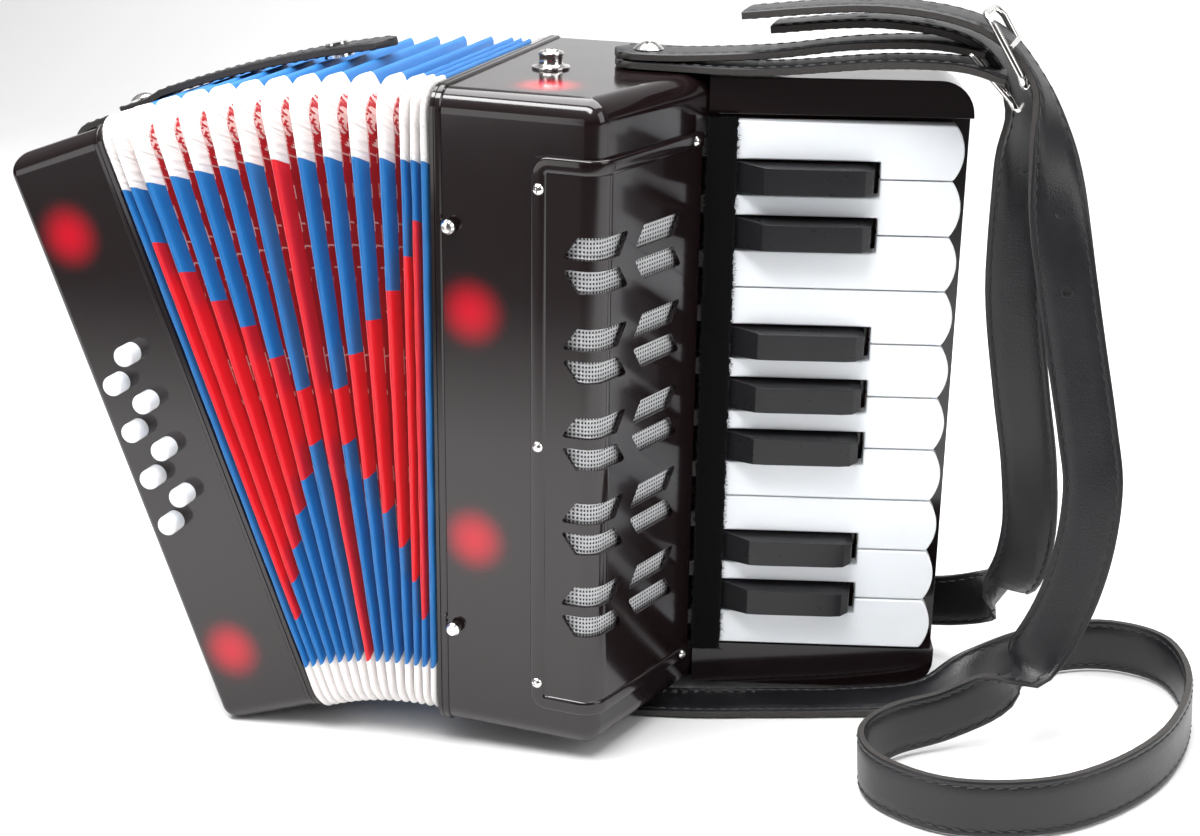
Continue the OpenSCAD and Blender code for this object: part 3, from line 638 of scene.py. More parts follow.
def treble_case():
    zs = sorted(set(fillet_levels(0, CASE_H, EDGE_R) + [WALL, 23.0, 115.0, 203.0, CASE_H - WALL]))
    rings = [treble_plan(z) for z in zs]
    n = len(rings[0])
    verts = [(x, y, z) for ring, z in zip(rings, zs) for x, y in ring]
    faces = []
    for k in range(len(zs) - 1):
        for i in range(n - 1):
            in_window = 23 <= zs[k] < 203 and 1 <= i < 18
            in_back = WALL <= zs[k] < CASE_H - WALL and n - 3 <= i < n - 2
            if not in_window and not in_back:
                faces.append([k * n + i, k * n + i + 1, (k + 1) * n + i + 1, (k + 1) * n + i])
    faces += [list(range(n)), list(range((len(zs) - 1) * n, len(zs) * n))]
    obj = new_object("treble_case_shell", verts, faces, M_TREBLE, STANCE, None, "case_plastic", 25)
    mod = obj.modifiers.new("wall", "SOLIDIFY")
    mod.thickness, mod.offset = (WALL - 0.3) * MM, -1
    apply_modifiers(obj, 30)
    weigh_normals(obj)
    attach(obj, "treble")
    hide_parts("treble_case")


def side_path(y0, y1, z0, z1, r, rb, n=8):
    """Closed (y, z) outline with its outward directions, front corners r, back corners rb."""
    pts = []
    for cy, cz, rr, a0 in ((y1 - rb, z0 + rb, rb, -90), (y1 - rb, z1 - rb, rb, 0),
                           (y0 + r, z1 - r, r, 90), (y0 + r, z0 + r, r, 180)):
        for i in range(n + 1):
            a = math.radians(a0 + 90 * i / n)
            pts.append((cy + rr * math.cos(a), cz + rr * math.sin(a), math.cos(a), math.sin(a)))
    return pts


def rim(name, path, profile, mat, matrix, body):
    """A band around a case's bellows side: profile is (x, out) swept along path."""
    verts = [(x, y + o * ny, z + o * nz) for y, z, ny, nz in path for x, o in profile]
    m, n = len(profile), len(path)
    faces = [[i * m + c, i * m + c + 1, ((i + 1) % n) * m + c + 1, ((i + 1) % n) * m + c]
             for i in range(n) for c in range(m - 1)]
    return new_object(name, verts, faces, mat, matrix, body, "case_plastic", 35)


RIM = [(0.0, -1.5), (0.0, 0.35), (0.35, 0.75), (1.5, 0.8), (1.7, 0.5), (2.0, 0.5), (2.2, 0.8), (3.5, 0.75),
       (4.0, 0.3), (4.1, -0.8)]


def bass_case():
    zs = fillet_levels(BASS_Z0, BASS_Z1, FOOT_R)
    rv = 3.0
    rings = []
    for z in zs:
        d = fillet_inset(z, BASS_Z0, BASS_Z1, FOOT_R)
        r = max(rv - d * 0.3, 1.0)
        x0, y0, y1 = -BASS_W + d, d, CASE_D - d
        rings.append([(0, y0), (-2, y0)] + arc(x0 + r, y0 + r, r, 270, 180, 6)
                     + arc(x0 + r, y1 - r, r, 180, 90, 6) + [(-2, y1), (0, y1)])
    n = len(rings[0])
    verts = [(x, y, z) for ring, z in zip(rings, zs) for x, y in ring]
    faces = [[k * n + i, k * n + i + 1, (k + 1) * n + i + 1, (k + 1) * n + i]
             for k in range(len(zs) - 1) for i in range(n - 1)]
    faces += [list(range(n)), list(range((len(zs) - 1) * n, len(zs) * n))]
    obj = new_object("bass_case_shell", verts, faces, M_BASS, IN_BASS, None, "case_plastic", 25)
    mod = obj.modifiers.new("wall", "SOLIDIFY")
    mod.thickness, mod.offset = (WALL - 0.3) * MM, -1
    apply_modifiers(obj, 30)
    weigh_normals(obj)
    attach(obj, "bass")
    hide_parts("bass_case")
    path = side_path(0, CASE_D, BASS_Z0, BASS_Z1, FOOT_R, FOOT_R)
    rim("bass_case_rim", path, [(-x, o) for x, o in RIM], M_PLASTIC, IN_BASS, "bass")


def button(i):
    x = -20.6 if i % 2 else -29.6
    z = 151 - (i - 1) * 9.1
    cap = [(r * BUTTON_R, 8.2 - 2.6 + 2.6 * h) for r, h in
           [(math.cos(math.radians(a)), math.sin(math.radians(a))) for a in range(0, 91, 10)]]
    flange = BUTTON_R + 1.5
    v, f = lathe([(2, -22), (2, -4.3), (flange, -4.2), (flange, -2.9), (BUTTON_R, -2.9)] + cap)
    place = IN_BASS @ move(x, 0, z) @ Matrix.Rotation(math.radians(90), 4, "X")
    obj = new_object(f"bass_button_{i}_cap", v, f, M_WHITE, place, f"bass_button_{i}_body", "buttons", 50)
    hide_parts(f"bass_button_{i}")


# ---------------------------------------------------------------- grille
def bend_mesh(obj):
    for v in obj.data.vertices:
        s, h, z = v.co / MM
        v.co = Vector((*ridge_base(s, h), z)) * MM
    fix_normals(obj.data)


def rounded(outline, r, n=4):
    """Rounds the corners of a convex outline."""
    out = []
    m = len(outline)
    for i in range(m):
        a, b, c = (Vector(outline[(i + k) % m]) for k in (-1, 0, 1))
        u, v = (a - b).normalized(), (c - b).normalized()
        half = math.acos(max(-1, min(1, u.dot(v)))) / 2
        t = min(r / math.tan(half), (a - b).length * 0.45, (c - b).length * 0.45)
        p, q = b + u * t, b + v * t
        for k in range(n + 1):
            f = k / n
            out.append(tuple(p * (1 - f) ** 2 + b * 2 * f * (1 - f) + q * f * f))
    return out


def grille_cover():
    z0, z1, s0, top = 15.0, 211.0, 36.2 - RIDGE_X, 1.5
    cols = [s0 + 1, -15] + [-6 + i for i in range(13)] + [14, 24, 40, GRILLE_END]
    verts = [(s, h, z) for s in cols for h in (-0.1, top) for z in (z0, z1)]
    faces = []
    for i in range(len(cols) - 1):
        a, b = i * 4, (i + 1) * 4
        faces += [[a, a + 1, b + 1, b], [a + 2, a + 3, b + 3, b + 2],
                  [a, a + 2, b + 2, b], [a + 1, a + 3, b + 3, b + 1]]
    faces += [[0, 1, 3, 2], [len(verts) - 4, len(verts) - 3, len(verts) - 1, len(verts) - 2]]
    panel = new_object("grille_panel", verts, faces, M_PLASTIC, Matrix.Identity(4), None, "case_plastic")
    parts = []
    for row in range(SLOT_ROWS):
        zc = CASE_H / 2 + 0.4 + (row - 2) * ROW_PITCH
        for s, w in ((-11.9, 22), (18.9, 23.6)):
            for m in (1, -1):
                g, h = m * SLOT_GAP / 2, m * (SLOT_GAP / 2 + SLOT_H)
                shape = [(s, g), (s + w, g), (s + w + SLOT_LEAN, h), (s + SLOT_LEAN, h)]
                line = rounded(shape, 1.0)
                parts.append(prism([(a, zc + b) for a, b in line], -2, 4, "y"))
    v, f = join_parts(parts)
    cutter = new_object("grille_cutter", v, f, M_PLASTIC, Matrix.Identity(4), None, None)
    cut = panel.modifiers.new("slots", "BOOLEAN")
    cut.operation, cut.object, cut.solver = "DIFFERENCE", cutter, "EXACT"
    apply_modifiers(panel)
    bpy.data.objects.remove(cutter)
    bevel(panel, 0.35, 2, 50)
    bend_mesh(panel)
    panel.data.shade_smooth()
    panel.data.set_sharp_from_angle(angle=math.radians(50))
    weigh_normals(panel)
    panel.matrix_world = STANCE
    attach(panel, "treble")
    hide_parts("grille_cover")
    # raised border on three sides, swept flat and then bent
    w, r = 5.6, 6.0
    x0, lo, hi = 36.2 - RIDGE_X, 14.5, 211.5
    line = [(GRILLE_END - i, hi, 0, 1) for i in range(int(GRILLE_END - x0 - r) + 1)]
    line += [(x0 + r + r * math.cos(a), hi - r + r * math.sin(a), math.cos(a), math.sin(a))
             for a in [math.radians(90 + 9 * i) for i in range(11)]]
    line += [(x0 + r + r * math.cos(a), lo + r + r * math.sin(a), math.cos(a), math.sin(a))
             for a in [math.radians(180 + 9 * i) for i in range(11)]]
    line += [(x0 + r + i, lo, 0, -1) for i in range(int(GRILLE_END - x0 - r) + 1)] + [(GRILLE_END, lo, 0, -1)]
    section = [(0.0, 0.0), (0.0, 1.5), (0.35, 2.0), (0.9, 2.2), (w - 1.6, 2.2), (w - 0.9, 2.05),
               (w - 0.5, 1.7),
               (w - 0.3, 1.35)]
    verts = [(*ridge_base(s - nx * a, h), z - nz * a) for s, z, nx, nz in line for a, h in section]
    m = len(section)
    faces = [[i * m + c, i * m + c + 1, (i + 1) * m + c + 1, (i + 1) * m + c]
             for i in range(len(line) - 1) for c in range(m - 1)]
    new_object("grille_border", verts, faces, M_PLASTIC, STANCE, "treble", "case_plastic", 45)


def grille_cloth():
    cols = [-14.6, -10] + [-6 + i for i in range(13)] + [20, 40, 54]
    rows = [24 + 178 * i / 20 for i in range(21)]
    verts = [(*ridge_base(s, -1.1), z) for s in cols for z in rows]
    uvs = [(s, z) for s in cols for z in rows]
    n = len(rows)
    faces = [[i * n + j, i * n + j + 1, (i + 1) * n + j + 1, (i + 1) * n + j]
             for i in range(len(cols) - 1) for j in range(n - 1)]
    obj = new_object("grille_cloth", verts, faces, M_WEAVE, STANCE, "treble", "mesh_cloth", uvs=uvs)
    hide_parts("grille_mesh")


# ---------------------------------------------------------------- keyboard
def boundary(i):
    return KEYS_Z1 - i * KEY_PITCH


def clip_z(outline, z, keep_above):
    """The part of an (s, z) outline above or below z."""
    out = []
    for i, p in enumerate(outline):
        q = outline[(i + 1) % len(outline)]
        inside = [(a[1] >= z) == keep_above for a in (p, q)]
        if inside[0]:
            out.append(p)
        if inside[0] != inside[1]:
            f = (z - p[1]) / (q[1] - p[1])
            out.append((p[0] + (q[0] - p[0]) * f, z))
    return out


def keyboard_bed():
    whole = round_rect(-14, 1, BED_LEN, 229.5, BED_R)
    line = [(max(s, 0.4), z) for s, z in whole]
    lo, hi = 17.6, KEYS_Z1 + 1.6
    parts = [prism(line, BED_FLOOR, BED_T, "y"),
             prism(clip_z(line, hi, True), 0, BED_FLOOR + 0.4, "y"),
             prism(clip_z(line, lo, False), 0, BED_FLOOR + 0.4, "y")]
    v, f = join_parts(parts)
    obj = new_object("keyboard_board", v, f, M_PLASTIC, IN_KEYS, None, "case_plastic")
    bevel(obj, 0.7, 3, 35)
    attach(obj, "treble")
    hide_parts("keyboard_bed")


def white_key(i):
    z1, z0 = boundary(i - 1) - 0.25, boundary(i) + 0.25
    zc, r = (z0 + z1) / 2, 16
    half = math.degrees(math.asin((z1 - z0) / 2 / r))
    end = [(s, z) for s, z in arc(WHITE_END - r, zc, r, -half, half, 14)]
    notch = BLACK_W / 2 + 0.7
    line = [(4, z0)] + end + [(4, z1)]
    if i in BLACK_AT:
        cut = boundary(i) + notch
        line = [(4, cut), (BLACK_END + 2, cut), (BLACK_END + 2, z0)] + line[1:]
    if i - 1 in BLACK_AT:
        cut = boundary(i - 1) - notch
        line = line[:-1] + [(BLACK_END + 2, z1), (BLACK_END + 2, cut), (4, cut)]
    top = prism(line, KEY_TOP, KEY_TOP + KEY_T, "y")
    obj = new_object(f"white_key_{i}_top", *top, M_WHITE, IN_KEYS, None,
                     "white_keys")
    bevel(obj, 0.7, 3, 35)
    neck = [(-13, zc - 3), (6, zc - 3), (6, zc + 3), (-13, zc + 3)]
    arm = join_parts([prism(neck, KEY_TOP + 0.4, 2.7, "y"),
                      prism([(-43, zc - 2), (-12, zc - 2), (-12, zc + 2), (-43, zc + 2)], 0, 3, "y")])
    arm_obj = new_object(f"white_key_{i}_arm", *arm, M_INNER, IN_KEYS, f"white_key_{i}_body", "white_keys")
    bevel(arm_obj, 0.4, 2)
    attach(obj, f"white_key_{i}_body")
    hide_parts(f"white_key_{i}")


def black_key(i):
    zc = boundary(BLACK_AT[i - 1])
    lo, up, h = KEY_TOP + KEY_T, KEY_TOP - BLACK_UP, BLACK_W / 2
    rows = [(3, KEY_TOP, 0), (10.8, KEY_TOP, 0), (13, KEY_TOP - 1.5, 0.1), (20, up + 0.5, 0.7), (24, up, 0.8),
            (BLACK_END - 7, up, 0.9), (BLACK_END - 3.4, up + 0.4, 1.0)]
    verts, faces = [], []
    for s, y, taper in rows:
        verts += [(s, lo, zc - h), (s, lo, zc + h), (s, y, zc + h - taper), (s, y, zc - h + taper)]
    # rounded outer end: three rows that narrow and drop
    for s, y, w in ((BLACK_END - 0.6, up + 2.6, h - 1.2), (BLACK_END, KEY_TOP - 0.6, h - 0.9)):
        verts += [(s, lo, zc - w), (s, lo, zc + w), (s, y, zc + w - 0.4), (s, y, zc - w + 0.4)]
    n = len(verts) // 4
    for k in range(n - 1):
        for c in range(4):
            d = (c + 1) % 4
            faces.append([k * 4 + c, k * 4 + d, (k + 1) * 4 + d, (k + 1) * 4 + c])
    faces += [[0, 1, 2, 3], [n * 4 - 4, n * 4 - 3, n * 4 - 2, n * 4 - 1]]
    obj = new_object(f"black_key_{i}_top", verts, faces, M_BLACK, IN_KEYS, None, "black_keys")
    bevel(obj, 0.55, 3, 25)
    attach(obj, f"black_key_{i}_body")
    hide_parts(f"black_key_{i}")


def felt_strip():
    rows = [17.7 + (KEYS_Z1 + 1.4 - 17.7) * i / 160 for i in range(161)]
    cols = [0.0, 0.1, 1.5, 4, 7, 9.5, 10.3, 10.4]
    ys = [-3.9, -5.2, -5.7, -5.8, -5.8, -5.6, -5.1, -3.9]
    verts = []
    for z in rows:
        for k, (s, y) in enumerate(zip(cols, ys)):
            rag = random.gauss(0, 0.22) if k in (0, 1, 6, 7) else random.gauss(0, 0.08)
            verts.append((s + rag, y + random.gauss(0, 0.07), z))
    m = len(cols)
    faces = [[i * m + c, i * m + c + 1, (i + 1) * m + c + 1, (i + 1) * m + c]
             for i in range(len(rows) - 1) for c in range(m - 1)]
    # loose fibres along both edges and at the two ends
    for _ in range(1500):
        left = random.random() < 0.5
        z = random.uniform(16.9, KEYS_Z1 + 2.1)
        s = (0.0 if left else 10.4) + random.gauss(0, 0.25)
        if random.random() < 0.12:
            z, s = random.choice((17.6, KEYS_Z1 + 1.5)), random.uniform(-0.2, 10.6)
        y = random.uniform(-5.6, -4.2)
        out = Vector(((-1 if left else 1) * random.uniform(0.1, 1.3),
                      random.uniform(-0.6, 0.3), random.gauss(0, 0.7)))
        b = len(verts)
        verts += [(s, y, z - 0.12), (s, y, z + 0.12), (s + out.x, y + out.y, z + out.z)]
        faces.append([b, b + 1, b + 2])
    obj = new_object("key_felt_strip", verts, faces, M_FELT, IN_KEYS, "treble", "felt", 80)
    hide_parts("key_felt")


# ---------------------------------------------------------------- bellows
CORNER_R, VALLEY_R = 10.0, 4.0


def ring_path(inset, r):
    """Closed loop of (y, z, place) around a fold; place is the height on the front and back,
    and carries on past the corners over the top and under the bottom."""
    y0, y1 = -FOLD_OUT + inset, CASE_D + FOLD_OUT - inset
    z0, z1 = HINGE_Z + inset, FOLD_TOP - inset
    top, low, depth = FOLD_TOP, HINGE_Z, (CASE_D + 2 * FOLD_OUT) / 2
    pts = []

    def line(a, b, n, fn):
        for i in range(1, n):
            f = i / n
            y, z = a[0] + (b[0] - a[0]) * f, a[1] + (b[1] - a[1]) * f
            pts.append((y, z, fn(f)))

    def corner(cy, cz, a0, u0, u1, n=9):
        for i in range(n + 1):
            a = math.radians(a0 - 90 * i / n)
            pts.append((cy + r * math.cos(a), cz + r * math.sin(a), u0 + (u1 - u0) * i / n))

    zr0, zr1, span = low + CORNER_R, top - CORNER_R, depth - CORNER_R
    line((y0, z0 + r), (y0, z1 - r), 14, lambda f: zr0 + (zr1 - zr0) * f)
    corner(y0 + r, z1 - r, 180, zr1, top + CORNER_R)
    line((y0 + r, z1), (y1 - r, z1), 10, lambda f: top + CORNER_R + span * (1 - abs(2 * f - 1)))
    corner(y1 - r, z1 - r, 90, top + CORNER_R, zr1)
    line((y1, z1 - r), (y1, z0 + r), 14, lambda f: zr1 + (zr0 - zr1) * f)
    corner(y1 - r, z0 + r, 0, zr0, low - CORNER_R)
    line((y1 - r, z0), (y0 + r, z0), 10, lambda f: low - CORNER_R - span * (1 - abs(2 * f - 1)))
    corner(y0 + r, z0 + r, -90, low - CORNER_R, zr0)
    return pts


def puff(u):
    """Leather corners stand a little proud of the tape."""
    return 0.35 if 206.5 < u < 249.5 or -14.5 < u < 21.8 else 0.0


STEPS = (0.0, 0.03, 0.1, 0.28, 0.5, TAPE / FOLD_DEPTH - 0.004, TAPE / FOLD_DEPTH + 0.004, 0.87, 1.0)
HALF = 0.95


def bellows_pleat(j):
    """The V of card between element j - 1 and element j, over hinge j."""
    outer, inner = ring_path(0, CORNER_R), ring_path(FOLD_DEPTH, VALLEY_R)
    a_frame, b_frame = in_fan(max(j - 1, 1)), in_fan(min(j, FOLDS))
    first, last = j == 1, j == FOLDS + 1
    treble_frame, bass_frame = STANCE, IN_BASS
    n = len(outer)
    verts, uvs, rows = [], [], []
    for (yo, zo, u), (yi, zi, _) in zip(outer, inner):
        back_x = 0 if first else -FOLD_PITCH
        valley_a = (treble_frame if first else a_frame) @ Vector((back_x * MM, yi * MM, zi * MM))
        valley_b = (bass_frame if last else b_frame) @ Vector((0, yi * MM, zi * MM))
        valley = (valley_a + valley_b) / 2
        p = puff(u)
        ny, nz = yo - CASE_D / 2, zo - (HINGE_Z + FOLD_TOP) / 2
        oy = math.copysign(p, ny) if abs(ny) > CASE_D / 2 - 8 else 0
        oz = math.copysign(p, nz) if abs(nz) > (FOLD_TOP - HINGE_Z) / 2 - 10 else 0
        wobble = 0.12 * math.sin(u * 0.21 + j * 1.7)
        row = []
        for side in ((1, -1) if not first and not last else ((-1,) if first else (1,))):
            f = a_frame if side == 1 else b_frame
            ridge = f @ Vector(((-FOLD_PITCH / 2 + wobble) * MM, (yo + oy) * MM, (zo + oz) * MM))
            toward = (f.to_3x3() @ Vector((-side, 0, 0))).normalized() * HALF * MM
            slope = []
            for t in STEPS:
                k = 0.0 if t == 0 else 0.62 if t == 0.03 else 1.0 - 0.95 * t
                q = ridge.lerp(valley, t) + toward * k * (1 - t) * (1.0 if t > 0.03 else 0.9)
                slope.append((q, u, t * FOLD_DEPTH, side))
            row.append(slope if side == 1 else slope[::-1])
        if first or last:
            f = treble_frame if first else bass_frame
            edge = f @ Vector((0, (yi * 0.72 + yo * 0.28) * MM, (zi * 0.72 + zo * 0.28) * MM))
            wall = [(edge, u, FOLD_DEPTH * 0.86, 0)]
            row = [wall, row[0]] if first else [row[0], wall]
        flat = [q for part in row for q in part]
        rows.append(flat)
    m = len(rows[0])
    for flat in rows:
        for q, u, d, _ in flat:
            verts.append(q / MM)
            uvs.append((u, d))
    faces, face_mats = [], []
    mats = [M_FOLD[min(abs(k - 8), 7)] for k in (max(j - 1, 1), min(j, FOLDS))]
    for i in range(n):
        k = (i + 1) % n
        for c in range(m - 1):
            faces.append([i * m + c, i * m + c + 1, k * m + c + 1, k * m + c])
            sides = (rows[i][c][3], rows[i][c + 1][3])
            face_mats.append(0 if 1 in sides else 1)
    name = f"bellows_pleat_{j:02d}"
    obj = new_object(name, verts, faces, mats, Matrix.Identity(4), None, "bellows_card", 60, uvs=uvs,
                     face_mats=face_mats)
    hx, hz = hinge_at(j)
    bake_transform(obj)
    if j <= FOLDS:
        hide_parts(f"bellows_fold_{j:02d}")


# ---------------------------------------------------------------- metal parts
def stud():
    profile = [(0.01, 0), (6.5, 0), (6.7, 0.35), (6.6, 0.8), (5.4, 1.1), (4.4, 1.4), (4.15, 1.8), (4.1, 4.4),
               (4.4, 4.9), (4.3, 5.5), (3.7, 5.9), (2.7, 6.0), (2.4, 5.7), (2.2, 5.4), (0.01, 5.3)]
    place = STANCE @ move(23.5, 51, CASE_H)
    obj = new_object("snap_stud_metal", *lathe(profile, 56), M_CHROME, place, "treble",
                     "chrome", 50)
    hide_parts("snap_stud")


def buckle(name, matrix, body="treble"):
    """Bent wire frame with a middle bar and a prong."""
    line = [(x, z) for x, z in round_rect(-12, -13.5, 12, 13.5, 4.5, 6)]
    verts, faces = [], []
    n, m = len(line), 10
    for i, (x, z) in enumerate(line):
        px, pz = line[i - 1]
        qx, qz = line[(i + 1) % n]
        t = Vector((qx - px, 0, qz - pz)).normalized()
        side = t.cross(Vector((0, 1, 0)))
        bow = 2.2 * (abs(z) / 13.5) ** 2
        for c in range(m):
            a = 2 * math.pi * c / m
            around = side * 1.15 * math.cos(a) + Vector((0, 1.15 * math.sin(a), 0))
            verts.append(Vector((x, -bow, z)) + around)
    faces = [[i * m + c, i * m + (c + 1) % m, ((i + 1) % n) * m + (c + 1) % m, ((i + 1) % n) * m + c]
             for i in range(n) for c in range(m)]
    bar = lathe([(0.01, -12), (1.05, -12), (1.05, 12), (0.01, 12)], 14)
    bar = ([(z, y, x) for x, y, z in bar[0]], bar[1])
    prong = lathe([(0.01, 0), (0.95, 0), (0.85, 6), (0.7, 12.5), (0.4, 14.6), (0.01, 15)], 12)
    prong = ([(x, y - 1.6 - 0.09 * z, z) for x, y, z in prong[0]], prong[1])
    return new_object(name, *join_parts([(verts, faces), bar, prong]), M_CHROME, matrix, body, "chrome", 50)


# ---------------------------------------------------------------- build
treble_case()
rim("treble_case_rim", side_path(-0.1, CASE_D, 0, CASE_H, EDGE_R, BACK_R), RIM, M_PLASTIC, STANCE, "treble")
bass_case()
for number in range(1, 9):
    button(number)
grille_cover()
grille_cloth()
keyboard_bed()
for number in range(1, KEYS + 1):
    white_key(number)
for number in range(1, len(BLACK_AT) + 1):
    black_key(number)
felt_strip()
for number in range(1, FOLDS + 2):
    bellows_pleat(number)
stud()

FLAT, HANG, EDGE_UP = (0, 1, 0), (1, 0, 0), (0, 0, 1)
FRONT_PATH = [(104, 71, 253), (150, 73, 254.5), (184, 74, 247), (201, 73, 229), (206.5, 68, 208),
              (210, 63, 182), (215, 60, 150), (221, 56, 115), (223.5, 53, 94), (220, 50, 68), (211, 47, 44),
              (197, 43, 25), (178, 37, 14.5), (160, 25, 12), (153, 8, 11), (163, -10, 11), (190, -20, 11),
              (224, -9, 11), (249, 24, 11), (257, 66, 11), (248, 101, 11), (226, 112, 11), (203, 103, 11),
              (184, 84, 9), (164, 70, 3.6), (134, 62, 1.9), (105, 55, 1.9), (77, 49, 1.9), (30, 44, 1.9)]
FRONT_WIDE = [FLAT] * 4 + [(0.6, 0.8, 0), (0.95, 0.3, 0)] + [HANG] * 4
FRONT_WIDE += [(0.9, 0, 0.35), (0.6, 0, 0.8), (0.2, 0, 1)]
FRONT_WIDE += [EDGE_UP] * 10 + [(-0.3, 0.4, 0.8), (-0.2, 1, 0.15)] + [FLAT] * 4
REAR_PATH = [(112, 77, 247.4), (150, 80, 248.4), (180, 83, 241), (193, 86, 221), (194, 88, 196),
             (192, 88, 154),
             (195, 88, 118), (198, 90, 88), (197, 97, 58), (188, 109, 33), (168, 117, 22), (140, 120, 19.5),
             (105, 118.8, 21), (80, 118, 22.4), (52, 118, 24.4)]
REAR_WIDE = [FLAT] * 3 + [(0.3, 1, 0), (0.9, 0.5, 0)] + [HANG] * 3
REAR_WIDE += [(1, -0.2, 0.1), (0.8, -0.2, 0.5), (0.3, 0, 1)] + [EDGE_UP] * 2 + [(0.07, 0, 1)] * 3
strap("shoulder_strap_front_sewn", FRONT_PATH, FRONT_WIDE[:len(FRONT_PATH)], STRAP_W, STRAP_T, ROOM, "treble",
      holes=(40, 62, 150, 176), replaces=("shoulder_strap_front",))
strap("shoulder_strap_rear_sewn", REAR_PATH, REAR_WIDE[:len(REAR_PATH)], STRAP_W, STRAP_T, ROOM, "treble",
      holes=(30, 52, 118), replaces=("shoulder_strap_rear",))
TAB_LOW = [(58, 66, 238.0), (80, 66, 236.4), (112, 68, 234.6), (150, 70, 236.4), (176, 73, 235),
           (190, 75, 230.5)]
TAB_HIGH = [(58, 66, 241.0), (80, 67, 239.6), (112, 72, 239.6), (140, 77, 241.6), (166, 80, 241.2),
            (184, 80, 238)]
tab = strap("strap_tab_low", TAB_LOW, [FLAT] * len(TAB_LOW), STRAP_W, STRAP_T, ROOM, "treble",
            round_ends=(1, 0))
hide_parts("strap_tabs")
strap("strap_tab_high", TAB_HIGH, [FLAT] * len(TAB_HIGH), STRAP_W, STRAP_T, ROOM, "treble", round_ends=(1, 0))


def along_strap(x, y, z, tilt, swing=0):
    """Frame on a strap whose width runs along Y: z goes down the strap, y out of it."""
    a = math.radians(tilt)
    down, out = Vector((math.cos(a), 0, -math.sin(a))), Vector((math.sin(a), 0, math.cos(a)))
    turn = Matrix(((0, out.x, down.x), (1, out.y, down.y), (0, out.z, down.z))).to_4x4()
    return ROOM @ move(x, y, z) @ turn @ Matrix.Rotation(math.radians(swing), 4, "X")


upper = buckle("buckle_upper", along_strap(193, 73.5, 241.5, 48, 14))
buckle("buckle_lower", along_strap(187, 83, 231, 62, -12))
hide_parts("strap_buckles")


def tie_rise(x):
    if x <= TIE_X + 6:
        return 0.0
    return 1.4 * (x - TIE_X - 6) / (2 - TIE_X - 6) if x < 2 else 1.4 - x * x / 1000


tie_path = [(x, TIE_Y, BASS_Z1 + TIE_GAP + 1.3 + tie_rise(x))
            for x in [-TIE_LEFT, -16, TIE_X + 6, 2] + list(range(12, TIE_END - 9, 10)) + [90, TIE_END]]
strap("bellows_strap_sewn", tie_path, [FLAT] * len(tie_path), TIE_W, STRAP_T, IN_BASS, "closing_strap",
      round_ends=(1, 1), replaces=("bellows_strap",))

hand_r = (72 ** 2 + HAND_OUT ** 2) / (2 * HAND_OUT)
middle_r = hand_r - STRAP_T / 2
hand_x = -BASS_W - HAND_OUT + hand_r
lie = -BASS_W - 0.1 - STRAP_T / 2
arc_end = math.degrees(math.acos((hand_x - lie) / middle_r))
hand_path = [(lie, 58, z) for z in (28, 34, 40)]
hand_path += [(hand_x - middle_r * math.cos(math.radians(a)), 58, 117 + middle_r * math.sin(math.radians(a)))
              for a in [arc_end * (2 * i / 14 - 1) for i in range(15)]]
hand_path += [(lie, 58, z) for z in (194, 205, BASS_Z1 - FOOT_R)]
top_r = FOOT_R + 0.1 + STRAP_T / 2
hand_path += [(-BASS_W + FOOT_R - top_r * math.cos(math.radians(a)), 58,
               BASS_Z1 - FOOT_R + top_r * math.sin(math.radians(a))) for a in (30, 60, 90)]
hand_path.append((-BASS_W + FOOT_R + 13, 58, BASS_Z1 + 0.1 + STRAP_T / 2))
strap("hand_strap_sewn", hand_path, [FLAT] * len(hand_path), HAND_W, STRAP_T, IN_BASS, "bass", steps=4,
      replaces=("hand_strap",))

for node, mat in (("treble_back_cover", M_INNER), ("treble_fasteners", M_CHROME), ("key_axle", M_STEEL),
                  ("treble_reed_block", M_WOOD), ("bass_reed_block", M_WOOD), ("bass_screws", M_CHROME),
                  ("snap_socket", M_CHROME)):
    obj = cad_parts[node]
    if not obj.data.materials:
        obj.data.materials.append(mat)
    for slot_index in range(len(obj.material_slots)):
        obj.material_slots[slot_index].material = mat


# ---------------------------------------------------------------- floor, light and camera
def floor():
    mesh = bpy.data.meshes.new("floor")
    size, back, rise = 2.2, 1.1, 2.2
    rows = [(-size, 0.0)] + [(back + 0.5 * math.sin(math.radians(a)), 0.5 - 0.5 * math.cos(math.radians(a)))
                             for a in range(0, 91, 10)] + [(back + 0.5, rise)]
    verts = [(x, y, z) for y, z in rows for x in (-2.6, 2.6)]
    mesh.from_pydata(verts, [], [[2 * i, 2 * i + 1, 2 * i + 3, 2 * i + 2] for i in range(len(rows) - 1)])
    mesh.shade_smooth()
    m = Nodes("floor_paper", (0.86, 0.86, 0.86), 0.6)
    place = m.add("ShaderNodeSeparateXYZ")
    m.link(m.coords(), place.inputs[0])
    # painted shade: the floor in front of the instrument, towards the camera, is coloured dark so the case's
    # front faces reflect dark
    front_shade = m.add("ShaderNodeMapRange", **{"From Min": -0.36, "From Max": -0.62})
    m.link(place.outputs[1], front_shade.inputs["Value"])
    pale = m.mix(m.noise(3, 2), (0.76, 0.76, 0.76), (0.79, 0.79, 0.79))
    m.color(m.mix(front_shade.outputs["Result"], pale, (0.06, 0.06, 0.06)))
    mesh.materials.append(m.mat)
    obj = bpy.data.objects.new("floor", mesh)
    bpy.context.scene.collection.objects.link(obj)


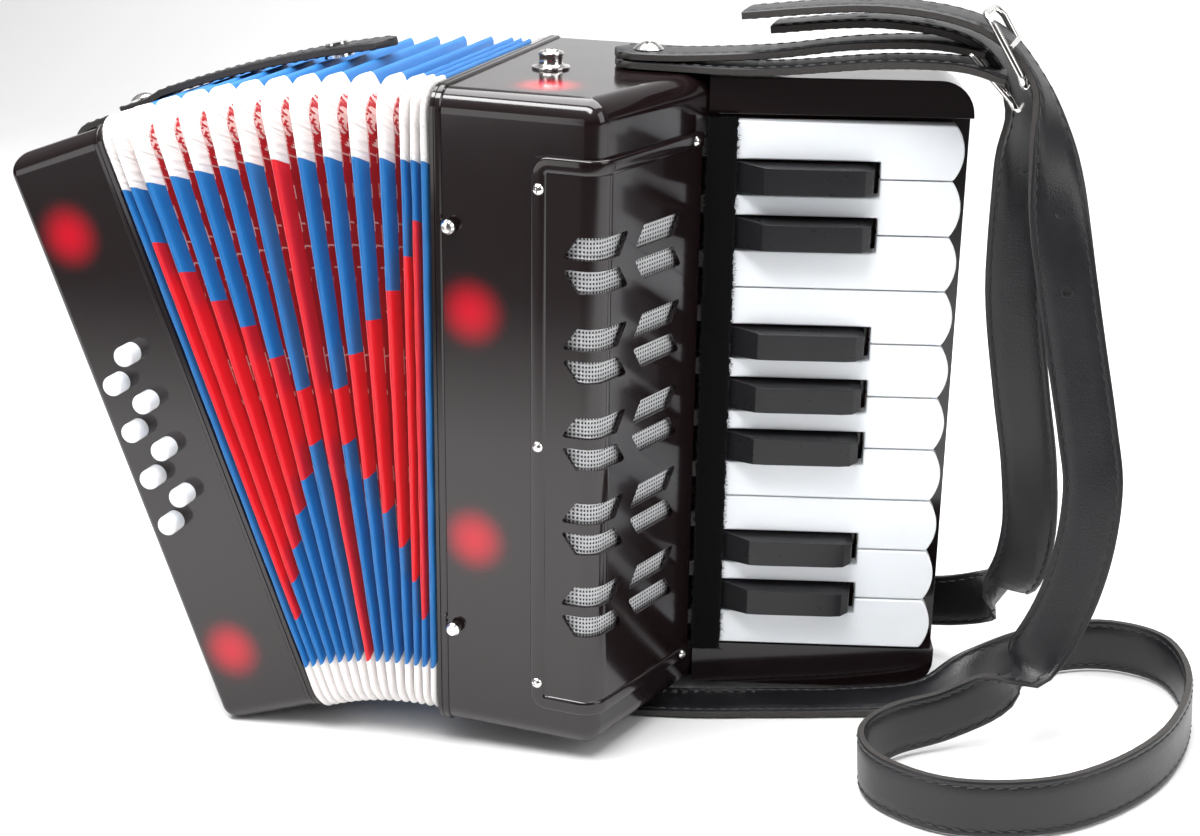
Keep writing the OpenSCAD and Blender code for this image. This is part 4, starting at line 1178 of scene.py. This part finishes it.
def area(name, where, target, size, power, color=(1, 1, 1)):
    light = bpy.data.lights.new(name, "AREA")
    light.shape, light.size, light.size_y = "RECTANGLE", size[0], size[1]
    light.energy, light.color = power, color
    obj = bpy.data.objects.new(name, light)
    bpy.context.scene.collection.objects.link(obj)
    obj.location = where
    obj.rotation_euler = (Vector(target) - Vector(where)).to_track_quat("-Z", "Y").to_euler()


floor()
area("key_light", (-0.25, -0.45, 1.2), (0, 0, 0.1), (1.3, 0.35), 25)
area("top_light", (0.1, 0.35, 1.35), (0, 0.05, 0.1), (1.4, 1.0), 28)
area("side_light", (1.3, -0.3, 0.7), (0, 0, 0.12), (0.7, 1.0), 6)
area("front_fill", (-0.9, -1.3, 0.35), (0, 0, 0.12), (0.8, 0.8), 4)
world = bpy.data.worlds.new("studio")
bpy.context.scene.world = world
world.use_nodes = True
tree = world.node_tree
way = tree.nodes.new("ShaderNodeTexCoord")
height = tree.nodes.new("ShaderNodeSeparateXYZ")
sky = tree.nodes.new("ShaderNodeValToRGB")
tree.links.new(way.outputs["Generated"], height.inputs[0])
tree.links.new(height.outputs[2], sky.inputs["Fac"])
tree.links.new(sky.outputs["Color"], tree.nodes["Background"].inputs[0])
sky.color_ramp.elements[0].position, sky.color_ramp.elements[0].color = 0.15, (0.10, 0.10, 0.10, 1)
sky.color_ramp.elements[1].position, sky.color_ramp.elements[1].color = 0.8, (0.9, 0.9, 0.9, 1)
tree.nodes["Background"].inputs[1].default_value = 0.6
bpy.context.scene.view_settings.view_transform = "Standard"

camera_data = bpy.data.cameras.new("camera")
camera_data.lens, camera_data.sensor_width = 59.5, 36
camera = bpy.data.objects.new("camera", camera_data)
bpy.context.scene.collection.objects.link(camera)
right = Vector((0.94695, 0.31703, -0.05269))
up = Vector((-0.05345, 0.31700, 0.94692))
back = right.cross(up)
camera.matrix_world = Matrix.Translation((0.22283, -0.63822, 0.33834)) @ Matrix(
    ((right.x, up.x, back.x), (right.y, up.y, back.y), (right.z, up.z, back.z))).to_4x4()
bpy.context.scene.camera = camera
